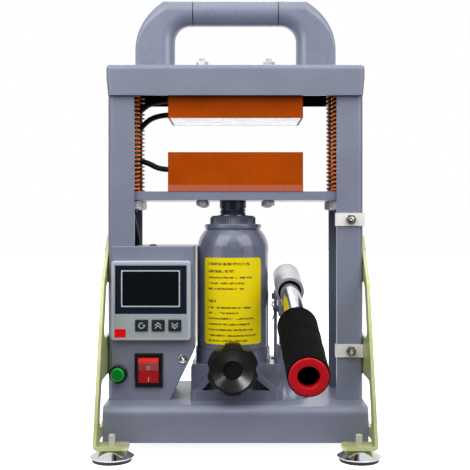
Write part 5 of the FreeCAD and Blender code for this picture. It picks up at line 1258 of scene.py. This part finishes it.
@dataclass
class Grip:
    """The lever's foam grip with the flat red ring let into its end, on the lever's own axis."""

    start: float = 150.0
    end: float = 261.0
    far_radius: float = 15.9
    near_radius: float = 14.4
    bore: float = 8.75
    far_edge: float = 4.6
    near_edge: float = 1.0
    # Height of the foam's waves, and the angle that they run through from end to end
    wave: float = 0.15
    wave_run: float = 23.0
    ring_start: float = 256.0
    ring_end: float = 261.8
    ring_radius: float = 13.4
    ring_bore: float = 7.6
    ring_edge: float = 0.6

    def foam(self) -> None:
        """Turn the grip's outline about the lever's axis, with low waves along it."""
        far, near = self.far_edge, self.near_edge
        along = np.linspace(self.start + far, self.end - near, 40)
        share = (along - self.start) / (self.end - self.start)
        radius = (self.far_radius + (self.near_radius - self.far_radius) * share
                  + self.wave * np.sin(share * self.wave_run) * np.sin(share * math.pi))
        outline = ([(self.bore, self.start)]
                   + arc((self.far_radius - far, self.start + far), far, -90, 0, 5)[:-1]
                   + list(zip(radius.tolist(), along.tolist()))
                   + arc((self.near_radius - near, self.end - near), near, 0, 90, 4)[1:]
                   + [(self.ring_radius, self.end), (self.ring_radius, self.ring_start),
                      (self.bore, self.ring_start)])
        shape = turned(outline, 64, looped=True).placed(LEVER_FOOT, LEVER_WAY)
        made = piece("lever_grip_foam", shape, Body.LEVER, FOAM, "lever_grip", 50.0)

    def ring(self) -> None:
        """Turn the flat ring: a box in outline with rounded outer edges."""
        edge = self.ring_edge
        outline = ([(self.ring_bore, self.ring_start), (self.ring_radius, self.ring_start)]
                   + arc((self.ring_radius - edge, self.ring_end - edge), edge, 0, 90, 4)
                   + arc((self.ring_bore + edge, self.ring_end - edge), edge, 90, 180, 4))
        shape = turned(outline, 64, looped=True).placed(LEVER_FOOT, LEVER_WAY)
        piece("grip_ring_flat", shape, Body.LEVER, RED_VINYL, "grip_end_ring")

    def build(self) -> None:
        """Make both pieces."""
        self.foam()
        self.ring()
        LOG.info("lever grip: %.0f mm of foam and its ring", self.end - self.start)


@dataclass
class Hairpin:
    """The lever's clevis pin and the spring clip that holds it."""

    middle: Pair = (-16.0, 121.05)
    radius: float = 3.05
    chamfer: float = 0.5
    start_x: float = 36.0
    length: float = 22.0
    wire: float = 0.62
    loop: Pair = (36.1, 125.3)
    loop_radius: float = 2.2
    loop_steps: int = 12
    loop_rise: float = 1.5

    def build(self) -> None:
        """Turn the pin along X; sweep the wire through it, round its loop and over it."""
        y, z = self.middle
        neck = self.radius - self.chamfer
        pin = turned([(0.0, 0.0), (neck, 0.0), (self.radius, self.chamfer),
                      (self.radius, self.length - self.chamfer), (neck, self.length),
                      (0.0, self.length)], 32).placed((self.start_x, y, z), (1, 0, 0))
        ring = [(px, y - self.loop_rise * (1 + step / self.loop_steps), pz)
                for step, (px, pz) in enumerate(
                    arc(self.loop, self.loop_radius, -40, 250, self.loop_steps))]
        route = ([(38.2, y, z - 10.0), (37.4, y, z - 7.0), (37.3, y, z), (37.5, y - 0.4, z + 3.0)]
                 + ring + [(34.9, y - 3.7, z + 1.0), (35.9, y - 3.9, z - 1.5),
                           (36.6, y - 3.2, z - 5.0), (34.3, y - 2.2, z - 9.8)])
        clip = tube(smooth_line(route, 5), self.wire, 10)
        for name, shape in (("clevis_pin", pin), ("hairpin_clip", clip)):
            piece(name, shape, Body.LEVER, BLACK_OXIDE, "hairpin_cotter")
        LOG.info("clevis pin and its clip")


@dataclass
class JackTop:
    """The jack's reservoir with its round shoulder and collar, the knurled nut and the screw."""

    foot: float = 84.0
    foot_chamfer: float = 0.6
    shoulder: float = 176.0
    shoulder_radius: float = 27.1
    shoulder_angle: float = 43.0
    collar_radius: float = 27.1
    collar: Pair = (195.3, 200.2)
    collar_edge: float = 1.2
    groove: float = 1.6
    inner_radius: float = 19.2
    nut_radius: float = 21.6
    nut_top: float = 208.0
    knurls: int = 54
    knurl_depth: float = 0.35
    screw_radius: float = 12.5
    screw_pitch: float = 3.0
    screw_depth: float = 1.1
    screw_foot: float = 122.0
    neck: float = 214.0
    cap_top: float = 222.0

    def reservoir(self) -> Surface:
        """Turn the tank: straight wall, a shoulder that is an arc, a groove and the collar.

        Returns:
            The closed skin.
        """
        (low, high), edge, chamfer = self.collar, self.collar_edge, self.foot_chamfer
        return turned(
            [(self.inner_radius, self.foot), (JACK_RADIUS - chamfer, self.foot),
             (JACK_RADIUS, self.foot + chamfer)]
            + arc((JACK_RADIUS - self.shoulder_radius, self.shoulder), self.shoulder_radius, 0,
                  self.shoulder_angle, 16)
            + [(self.collar_radius - self.groove, low)]
            + arc((self.collar_radius - edge, low + edge), edge, -90, 0, 4)
            + arc((self.collar_radius - edge, high - edge), edge, 0, 90, 4)
            + [(self.inner_radius, high)], 96, looped=True)

    def nut(self) -> Surface:
        """The knurled nut: its radius goes in and out with the cosine of the angle.

        Each row of its profile is a radius, a height and the share of the knurl's depth there.

        Returns:
            The closed skin.
        """
        angles = circle(self.knurls * 4)
        ridge = self.knurl_depth * (np.cos(angles * self.knurls) - 1)
        foot, top, wide, bore = self.collar[1], self.nut_top, self.nut_radius, self.screw_radius
        profile = np.array(((bore + 0.8, foot, 0.0), (wide, foot, 0.3), (wide, foot + 0.4, 1.0),
                            (wide, top - 2.2, 1.0), (wide - 1.6, top - 0.5, 0.3),
                            (wide - 2.2, top, 0.0), (bore + 1.0, top, 0.0),
                            (bore + 0.8, top - 0.4, 0.0)))
        reach = profile[:, :1] + profile[:, 2:] * ridge
        return net(round_rows(reach, profile[:, 1:2], angles), looped=True)

    def screw(self) -> Surface:
        """The extension screw: a coarse thread below, and the serrated cap on its neck.

        Returns:
            Both as one skin.
        """
        radius, foot, top = self.screw_radius, self.neck, self.cap_top
        thread = threaded(radius, self.screw_pitch, self.screw_foot, foot, self.screw_depth, 40)
        cap = turned([(0.0, foot - 1.0), (radius - 0.9, foot - 1.0), (radius - 0.9, foot + 0.6),
                      (radius, foot + 1.4), (radius, top - 0.6), (radius - 0.6, top), (0.0, top)])
        return joined([thread, cap])

    def build(self) -> None:
        """Make all three."""
        for name, shape, body, finish, slot, node, crease in (
                ("jack_tank", self.reservoir(), Body.FRAME, JACK_ENAMEL, "jack_paint",
                 "jack_reservoir", 40.0),
                ("jack_knurled_nut", self.nut(), Body.FRAME, JACK_DARK, "jack_paint",
                 "jack_top_nut", 30.0),
                ("extension_screw_thread", self.screw(), Body.SCREW, BLACK_OXIDE, "black_steel",
                 "extension_screw", 30.0)):
            piece(name, shape.placed((JACK_X, 0, 0)), body, finish, node, crease)
        LOG.info("jack: tank, knurled nut and extension screw")


@dataclass
class Fasteners:
    """Bolts, nuts, studs and box screws with their chamfers, threads and recesses."""

    brace_x: float = 119.5
    brace_end: float = 109.5
    brace_y: float = 14.0
    brace_z: Pair = (84.0, 175.0)
    # Radius, height and key of the domed heads
    dome: Point = (5.1, 2.4, 3.6)
    # Widths across flats and bores of the nuts
    nut: Pair = (10.0, 3.1)
    rod_nut: Pair = (16.0, 5.1)
    handle_x: float = 75.8
    # Levels of the head's two ends and of the thread's end
    handle_z: Point = (336.4, 341.4, 357.4)
    studs: Pair = (30.8, 22.0)
    stud_radius: float = 2.6
    # Levels of the stud's foot, the end of its plain part and its tip
    stud_z: Point = (307.4, 340.0, 353.4)
    stud_nut: Pair = (345.4, 350.4)
    rod_nuts: tuple[Pair, ...] = ((213.6, 222.0), (333.0, 341.4))
    # Levels of the dome's tip, the head's foot, the beam above it and the shank's end
    plate_bolt_z: Four = (216.0, 217.0, 222.0, 256.0)
    plate_bolt_head: float = 9.6
    lean: float = 8.0
    clip_x: float = 105.0
    clip_z: Pair = (84.7, 204.2)
    # Along Y: the head's face, its seat, the nut's seat and the nut's far end
    clip_y: Four = (-40.7, -37.2, -32.0, -29.0)
    clip_head: float = 8.0
    # Radius and pitch of the clip's thread
    clip_thread: Pair = (2.5, 0.8)
    # Height and crown of a box screw's pan head; radius, pitch, foot and top of its thread
    pan: Pair = (1.9, 0.7)
    pan_thread: Four = (1.6, 0.7, -4.2, 0.4)
    pan_lean: float = 28.0
    panel_screw: Point = (-47.8, -37.5, 77.6)
    lid_screw: Point = (-75.5, -30.0, 180.0)
    cover_y: float = 31.5
    cover_screws: tuple[Pair, ...] = (
        (-42.9, 175.1), (-88.5, 175.1), (-42.9, 90.8), (-88.5, 44.9))

    def leaning(self, across: float, low: float, high: float, bore: float = 0.0) -> Surface:
        """A hexagon that came to rest a little turned, as hand-tightened ones do."""
        return hexagonal(across, low, high, bore).placed((0, 0, 0), turn=self.lean)

    def braces(self) -> tuple[Surface, Surface]:
        """Domed screws that hold the braces, and the nuts behind the columns.

        Returns:
            The screws and the nuts.
        """
        length = self.brace_x - self.brace_end
        screw = joined([socket_head(*self.dome).placed((0, 0, length)),
                        threaded(SIX_MM_THREAD, 1.0, 0.0, length + 0.5)])
        nut = self.leaning(self.nut[0], 0.0, 3.0, self.nut[1])
        sides = [(side, [(side * self.brace_end, y, z) for y in (-self.brace_y, self.brace_y)
                         for z in self.brace_z]) for side in (-1, 1)]
        return tuple(joined([part.at_all(places, (side, 0, 0)) for side, places in sides])
                     for part in (screw, nut))

    def beam(self) -> tuple[Surface, Surface]:
        """Handle screws, plate studs with their nuts, and the guide rods' nuts.

        Returns:
            The screws with the studs, and all the nuts.
        """
        low, head, end = self.handle_z
        handle = joined([self.leaning(self.nut[0], low, head),
                         threaded(SIX_MM_THREAD, 1.0, head - 0.5, end)])
        foot, neck, tip = self.stud_z
        stud = joined([turned([(0.0, foot), (self.stud_radius, foot), (self.stud_radius, neck),
                               (0.0, neck)], 20),
                       threaded(SIX_MM_THREAD, 1.0, neck - 2.0, tip)])
        nut = hexagonal(self.nut[0], *self.stud_nut, self.nut[1]).placed((0, 0, 0), turn=-self.lean)
        studs = four_places(*self.studs)
        rod_nuts = [self.leaning(self.rod_nut[0], low, high, self.rod_nut[1]).at_all(four_places(*RODS))
                    for low, high in self.rod_nuts]
        return (joined([handle.at_all([(-self.handle_x, 0, 0), (self.handle_x, 0, 0)]),
                        stud.at_all(studs)]), joined([nut.at_all(studs), *rod_nuts]))

    def clips(self) -> tuple[Surface, ...]:
        """The hexagon screws of the two column clips, their nuts, and their bright crosses.

        Returns:
            The screws, the nuts and the crosses.
        """
        head, seat, nut_foot, end = self.clip_y
        radius, pitch = self.clip_thread
        screw = joined([hexagonal(self.clip_head, 0.0, seat - head),
                        threaded(radius, pitch, seat - head - pitch / 2, end - head)])
        nut = hexagonal(self.clip_head, nut_foot - head, end - head, radius + 0.1)
        cross = cross_head(2.5, 1.4, 0.5).placed((0, 0, 0.4), (0, 0, -1), 20.0)
        places = [(self.clip_x, head, z) for z in self.clip_z]
        return tuple(part.at_all(places, BACKWARDS) for part in (screw, nut, cross))

    def carriage(self) -> Surface:
        """Bolts that hold the lower plate: low heads, a round end below, plain shanks above.

        Returns:
            The four bolts as one.
        """
        tip, foot, seat, end = self.plate_bolt_z
        dome = [(0.0, tip), (3.2, tip), (3.8, tip + 0.6), (3.8, tip + 1.6), (0.0, tip + 1.6)]
        shank = [(0.0, seat - 0.5), (3.0, seat - 0.5), (3.0, end - 0.6), (2.4, end), (0.0, end)]
        bolt = joined([self.leaning(self.plate_bolt_head, foot, seat), turned(dome, 24),
                       turned(shank, 24)])
        return bolt.at_all(four_places(*self.studs))

    def pan_screw(self, place: Spot, way: Spot, radius: float) -> Surface:
        """One pan head with its thread behind it, turned a little so that its cross leans."""
        return joined([cross_head(radius, *self.pan), threaded(*self.pan_thread, sides=16)]
                      ).placed(place, way, self.pan_lean)

    def build(self) -> None:
        """Make every fastener in place of the plain ones."""
        brace_screws, brace_nuts = self.braces()
        beam_bolts, beam_nuts = self.beam()
        clip_screws, clip_nuts, crosses = self.clips()
        bright = joined([self.pan_screw(self.panel_screw, FORWARDS, 3.9)]
                        + [self.pan_screw((x, self.cover_y, z), BACKWARDS, 3.3)
                           for x, z in self.cover_screws])
        dark = self.pan_screw(self.lid_screw, (0, 0, 1), 3.3)
        groups = (("brace_screws", brace_screws, BRIGHT_ZINC, "frame_bolts"),
                  ("beam_bolts", beam_bolts, PALE_ZINC, "frame_bolts"),
                  ("clip_screws", clip_screws, DARK_BOLT, "frame_bolts"),
                  ("clip_crosses", crosses, BRIGHT_ZINC, "frame_bolts"),
                  ("brace_nuts", brace_nuts, BRIGHT_ZINC, "frame_nuts"),
                  ("beam_nuts", beam_nuts, PALE_ZINC, "frame_nuts"),
                  ("clip_nuts", clip_nuts, DARK_BOLT, "frame_nuts"),
                  ("plate_bolts", self.carriage(), PALE_ZINC, "lower_plate_bolts"),
                  ("box_pan_screws", bright, BRIGHT_ZINC, "box_screws"),
                  ("box_lid_screw", dark, DARK_BOLT, "box_screws"))
        for name, shape, finish, node in groups:
            body = Body.CARRIAGE if name == "plate_bolts" else Body.FRAME
            piece(name, shape, body, finish, node, 25.0)
        LOG.info("fasteners: %d groups with chamfers, threads and recesses", len(groups))


@dataclass
class JackLabel:
    """The yellow film on the jack's front: its print is rows of marks that say nothing."""

    half_angle: float = 49.6
    low: float = 89.7
    high: float = 169.2
    corner: float = 3.0
    glue: float = 0.02
    thickness: float = 0.15
    rows: tuple[Point, ...] = (
        (163.5, 2.2, 13.1), (156.8, 2.2, -0.1), (151.0, 1.4, 15.3), (145.8, 1.4, 8.8),
        (140.7, 1.4, 7.4), (129.4, 2.2, -18.1), (123.4, 1.4, 14.3), (118.4, 1.4, 2.8),
        (113.4, 1.4, 17.4), (108.2, 1.4, 13.1), (103.1, 1.4, 15.7), (97.9, 1.4, 18.8),
        (93.1, 1.4, 10.5))

    def build(self) -> None:
        """Bend the film round the jack: (r sin a, -r cos a) at each level.

        Its half width shrinks near its ends as a circle does, which rounds the corners.
        """
        drop = self.corner * (1 - np.cos(np.linspace(0, math.pi / 2, 7)))
        levels = np.concatenate((self.low + drop, (self.high - drop)[::-1]))
        near = np.minimum(levels - self.low, self.high - levels)
        inset = self.corner - np.sqrt(np.maximum(
            self.corner ** 2 - np.maximum(self.corner - near, 0.0) ** 2, 0.0))
        half = math.radians(self.half_angle) - inset / JACK_RADIUS
        angle = half[:, None] * np.linspace(-1, 1, 41)
        front, back = (np.stack(np.broadcast_arrays(
            JACK_X + radius * np.sin(angle), -radius * np.cos(angle), levels[:, None]), -1)
            for radius in (JACK_RADIUS + self.thickness, JACK_RADIUS + self.glue))
        film = PrintedFilm("yellow_label_film", "#ffe500", 0.35, specular=0.3, rows=self.rows)
        piece("jack_label_film", slab(front, back), Body.FRAME, film)
        LOG.info("jack label: %.0f mm high", self.high - self.low)


@dataclass
class Controller:
    """Prints and glass on the temperature controller's face."""

    face_y: float = -44.0
    border: Pair = (53.2, 33.2)
    border_centre: Pair = (-76.6, 141.8)
    border_line: float = 1.1
    border_corners: Pair = (0.7, 1.2)
    border_proud: float = 0.12
    glass_proud: float = 0.06
    keys: Point = (-84.7, -69.7, -54.7)
    key_z: float = 108.6
    key_face: float = -45.3
    patch: Four = (-109.1, -98.9, 97.7, 105.4)
    patch_corner: float = 0.6
    print_line: float = 0.75
    print_proud: float = 0.08

    def screen(self) -> None:
        """The glass of the screen and the pale line round it."""
        (width, height), (x, z), line = self.border, self.border_centre, self.border_line
        outer = rounded_box(width, height, self.border_corners[0])
        inner = rounded_box(width - 2 * line, height - 2 * line, self.border_corners[1])
        top = self.border_proud
        frame_line = net(layers((outer, 0.0), (outer, top), (inner, top), (inner, 0.0)),
                         looped=True)
        for name, shape, finish in (
                ("display_border", frame_line, PRINT_LIGHT),
                ("display_glass", plate(inner, 0.0, self.glass_proud), SCREEN_GLASS)):
            piece(name, shape.placed((x, self.face_y, z), FORWARDS), Body.FRAME, finish)

    def marks(self) -> None:
        """The small red patch at the case's lower left, and the marks on the three keys."""
        left, right, low, high = self.patch
        top, line = self.print_proud, self.print_line
        flat = plate(rounded_box(right - left, high - low, self.patch_corner), 0.0, top)
        piece("controller_patch", flat.placed(((left + right) / 2, self.face_y, (low + high) / 2),
                                              FORWARDS), Body.FRAME, PRINT_RED)
        cycle = joined([stroke(arc((0.0, 0.0), 2.4, 60, 360, 22), line, 0.0, top),
                        plate([(2.4, -1.7), (3.7, 0.6), (1.1, 0.6)], 0.0, top)])
        chevrons = joined([stroke([(-2.9, foot), (0.0, foot + 2.7), (2.9, foot)], line, 0.0, top)
                           for foot in (-2.6, 0.0)])
        for name, shape, x, body in (
                ("set", cycle, self.keys[0], Body.SET_KEY),
                ("up", chevrons, self.keys[1], Body.UP_KEY),
                ("down", chevrons.placed((0, 0, 0), turn=180.0), self.keys[2], Body.DOWN_KEY)):
            piece(f"{name}_key_mark", shape.placed((x, self.key_face, self.key_z), FORWARDS),
                  body, PRINT_LIGHT)

    def build(self) -> None:
        """Put every print in its place."""
        self.screen()
        self.marks()
        LOG.info("controller: screen, patch and key marks")


@dataclass
class RockerMarks:
    """The O and I moulded on the rocker: O on its raised half, I on its pressed half."""

    x: float = -78.8
    valley_z: float = 67.3
    face_y: float = -40.5
    tilt: float = 20.0
    ring_out: float = 2.6
    bar_down: float = 8.0
    ring_radius: float = 1.6
    bar_half: float = 1.9
    line: float = 0.6
    sunk: float = -0.05
    proud: float = 0.1

    def build(self) -> None:
        """Stand each mark on its half's own plane."""
        slope = math.radians(self.tilt)
        ring = stroke(arc((0.0, 0.0), self.ring_radius, 0, 348, 29), self.line, self.sunk,
                      self.proud, closed=True).placed(
            (self.x, self.face_y - math.sin(slope) * self.ring_out,
             self.valley_z + math.cos(slope) * self.ring_out),
            (0.0, -math.cos(slope), -math.sin(slope)))
        bar = plate(rounded_box(self.line, 2 * self.bar_half, self.line / 2), self.sunk,
                    self.proud).placed((self.x, self.face_y, self.valley_z - self.bar_down),
                                       FORWARDS)
        piece("rocker_marks", joined([ring, bar]), Body.ROCKER, PRINT_PALE_RED)
        LOG.info("rocker: O and I")


# The stage


@dataclass
class Studio:
    """A pale floor, soft lights and the photograph's point of view."""

    camera_distance: float = 824.0
    camera_height: float = 199.2
    pixel_focus: float = 865.0
    frame_pixels: float = 470.0
    sensor: float = 36.0
    shift: Pair = (-0.5 / 470.0, -10.0 / 470.0)
    clips: Pair = (0.01, 50.0)
    floor_half: float = 6000.0
    floor_grey: str = "#7e7e80"
    floor_lift: float = 0.85
    sky: float = 0.5

    def camera(self) -> None:
        """Set the camera: level, straight in front, a little above the jack."""
        lens = bpy.data.cameras.new("camera")
        lens.sensor_width = self.sensor
        lens.lens = self.pixel_focus / self.frame_pixels * self.sensor
        lens.shift_x, lens.shift_y = self.shift
        lens.clip_start, lens.clip_end = self.clips
        made = bpy.data.objects.new("camera", lens)
        made.location = (0.0, (MIDDLE_Y - self.camera_distance) * MM, self.camera_height * MM)
        made.rotation_euler = (math.pi / 2, 0.0, 0.0)
        bpy.context.scene.collection.objects.link(made)
        bpy.context.scene.camera = made

    def seen(self, tree: bpy.types.NodeTree, *rays: str) -> Socket:
        """1 where a ray of any of the named kinds looks, and 0 for the rest.

        Args:
            tree: the node tree.
            rays: the names of Light Path's outputs.

        Returns:
            The output.
        """
        paths = add_node(tree, "LightPath").outputs
        level = paths[rays[0]]
        for ray in rays[1:]:
            level = add_node(tree, "Math", {0: level, 1: paths[ray]}, operation="MAXIMUM").outputs[0]
        return level

    def sheet(self, name: str, corners: Sequence[Spot],
              look: bpy.types.Material) -> bpy.types.Object:
        """One flat face of the stage.

        Args:
            name: its name.
            corners: its four corners in millimetres.
            look: its material.

        Returns:
            The object.
        """
        mesh = bpy.data.meshes.new(name)
        mesh.from_pydata((np.asarray(corners, float) * MM).tolist(), [], [(0, 1, 2, 3)])
        mesh.materials.append(look)
        made = bpy.data.objects.new(name, mesh)
        bpy.context.scene.collection.objects.link(made)
        return made

    def floor(self) -> None:
        """A wide sheet of matt white board that keeps the press's shadow.

        To the eye it is white; to the light that comes off it, a grey that keeps the press's
        low faces as dark as they are over a deep table.
        """
        board = bpy.data.materials.new("matt_white_board")
        board.use_nodes = True
        tree = board.node_tree
        tree.nodes.clear()
        seen = self.seen(tree, "Is Camera Ray", "Is Glossy Ray")
        tone = add_node(tree, "Mix", {"Factor": seen, "A": linear(self.floor_grey),
                                      "B": linear("#ffffff")}, data_type="RGBA")
        matt = add_node(tree, "BsdfDiffuse", {"Color": tone.outputs["Result"], "Roughness": 1.0})
        shine = add_node(tree, "Math", {0: seen, 1: self.floor_lift}, operation="MULTIPLY")
        lift = add_node(tree, "Emission", {"Color": linear("#ffffff"),
                                           "Strength": shine.outputs[0]})
        both = add_node(tree, "AddShader", {0: matt.outputs[0], 1: lift.outputs[0]})
        add_node(tree, "OutputMaterial", {"Surface": both.outputs[0]})
        half = self.floor_half
        self.sheet("floor", [(-half, -half, 0), (half, -half, 0), (half, half, 0),
                             (-half, half, 0)], board)

    def world(self) -> None:
        """White to the eye, in reflections and through glass; a soft grey light to the rest."""
        sky = bpy.data.worlds.new("studio")
        bpy.context.scene.world = sky
        sky.use_nodes = True
        tree = sky.node_tree
        tree.nodes.clear()
        seen = self.seen(tree, "Is Camera Ray", "Is Glossy Ray", "Is Transmission Ray")
        level = add_node(tree, "MapRange", {"Value": seen, "To Min": self.sky, "To Max": 1.0})
        glow = add_node(tree, "Background", {"Color": linear("#ffffff"),
                                             "Strength": level.outputs[0]})
        add_node(tree, "OutputWorld", {"Surface": glow.outputs[0]})

    def lamp(self, name: str, place: Spot, target: Spot, size: Pair,
             watts: float, mirrored: bool = True, only: str = "") -> None:
        """A soft box that looks at a point.

        Args:
            name: its name.
            place: where it hangs, in millimetres on the press's axes.
            target: what it looks at.
            size: its width and height in millimetres.
            watts: its power.
            mirrored: whether glossy surfaces show it.
            only: the one piece that it lights, where it is not all of them.
        """
        light = bpy.data.lights.new(name, "AREA")
        light.shape = "RECTANGLE"
        light.size, light.size_y = size[0] * MM, size[1] * MM
        light.energy = watts
        made = bpy.data.objects.new(name, light)
        turn = np.eye(4)
        turn[:3, :3] = axes_along(np.subtract(place, target))
        turn[:3, 3] = np.add(place, BEHIND) * MM
        made.matrix_world = turn.T.tolist()
        made.visible_camera = False
        made.visible_glossy = mirrored
        if only:
            lit = bpy.data.collections.new(name)
            lit.objects.link(bpy.data.objects[only])
            made.light_linking.receiver_collection = lit
        bpy.context.scene.collection.objects.link(made)

    def cards(self) -> None:
        """Black cards that stand or lie on the floor, seen in reflections alone.

        Each is its two ends as (X, Y), the height of its other edge, and how far along Y that
        edge is from the first one.
        """
        felt = bpy.data.materials.new("black_felt")
        felt.use_nodes = True
        felt.node_tree.nodes["Principled BSDF"].inputs["Base Color"].default_value = linear(
            "#050505")
        clear = 1.0
        for name, (x0, y0), (x1, y1), height, forward in (
                ("left_card", (-900, -400), (-900, 500), 1500.0, 0.0),
                ("right_card", (900, -400), (900, 500), 1500.0, 0.0),
                ("front_card", (-1500, -2200), (1500, -2200), 1500.0, 0.0),
                ("table_card", (-1300, -140), (1300, -140), 2.0, -2060.0)):
            made = self.sheet(name, np.add([(x0, y0, clear), (x1, y1, clear),
                                            (x1, y1 + forward, height),
                                            (x0, y0 + forward, height)], BEHIND), felt)
            made.visible_camera = made.visible_diffuse = made.visible_shadow = False
            made.visible_transmission = False

    def build(self) -> None:
        """Set the whole stage."""
        self.floor()
        self.world()
        self.camera()
        press, knob = (0, 0, 260), (0, -85, 72)
        self.lamp("key_light", (-350, -450, 620), press, (480, 560), 2.0)
        self.lamp("fill_light", (430, -420, 620), press, (520, 560), 2.0)
        self.lamp("top_light", (0, -350, 1050), (0, 0, 200), (900, 400), 3.3, mirrored=False)
        for side, word in ((-1, "left"), (1, "right")):
            self.lamp(f"knob_light_{word}", (side * 400, -800, 330), knob, (200, 200), 1.9,
                      only="release_knob")
        self.lamp("back_light", (100, 800, 900), (0, 0, 200), (800, 500), 3.0)
        self.cards()
        LOG.info("stage: floor, world, six lamps, four cards and the camera")


# The run

DRESS = (
    (POWDER_GREY, "base_channel left_column right_column lower_beam control_box control_box_cover"),
    (POWDER_BEAM, "top_beam"), (CAST_GREY, "handle_ends handle_grip"),
    (YELLOW_ZINC, "side_braces"), (CLIP_ZINC, "column_clips"), (SHADE_DARK_ROD_STEEL, "guide_rods"),
    (GROUND_STEEL, "ram jack_cylinder pump_plunger release_valve"),
    (FOOT_CHROME, "foot_left_front foot_left_rear foot_right_front foot_right_rear"),
    (TUBE_CHROME, "lever_tube"), (RUBBER, "foot_pads"),
    (ORANGE_ENAMEL, "upper_plate_housing lower_plate_housing"),
    (INSULATION, "upper_insulation_pad lower_insulation_pad"),
    (MILLED_ALUMINIUM, "upper_heating_plate lower_heating_plate"),
    (HEATER_STEEL, "upper_heaters lower_heaters"),
    (BLACK_ABS, "power_inlet switch_housing button_body"), (CASE_ABS, "controller_case"),
    (SCREEN_FIELD, "display_window"), (NAVY_KEY, "set_key up_key down_key"),
    (ROCKER_RED, "power_rocker"), (BUTTON_GREEN, "start_button"),
    (JACK_ENAMEL, "jack_base filler_plug pump_cylinder"), (LINK_PAINT, "lever_links"),
    (BLACK_OXIDE, "screw_stop_ring"), (KNOB_PHENOLIC, "release_knob"),
    (SOCKET_PAINT, "lever_socket"))


def dress_frame() -> None:
    """Give every CAD node that stays its finish."""
    for finish, nodes in DRESS:
        for name in nodes.split():
            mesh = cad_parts[name].data
            mesh.materials.clear()
            mesh.materials.append(finish.material())
            LOG.info("%s: %s", name, finish.name)


def main() -> None:
    """Dress the frame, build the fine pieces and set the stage."""
    bpy.context.scene.view_settings.view_transform = "Standard"
    logging.basicConfig(level=logging.INFO, format="%(name)s: %(message)s")
    dress_frame()
    for part in (ReturnSprings(), Leads(), Grip(), Hairpin(), JackTop(), JackLabel(),
                 Fasteners(), Controller(), RockerMarks(), Studio()):
        part.build()


if __name__ == "__main__":
    main()
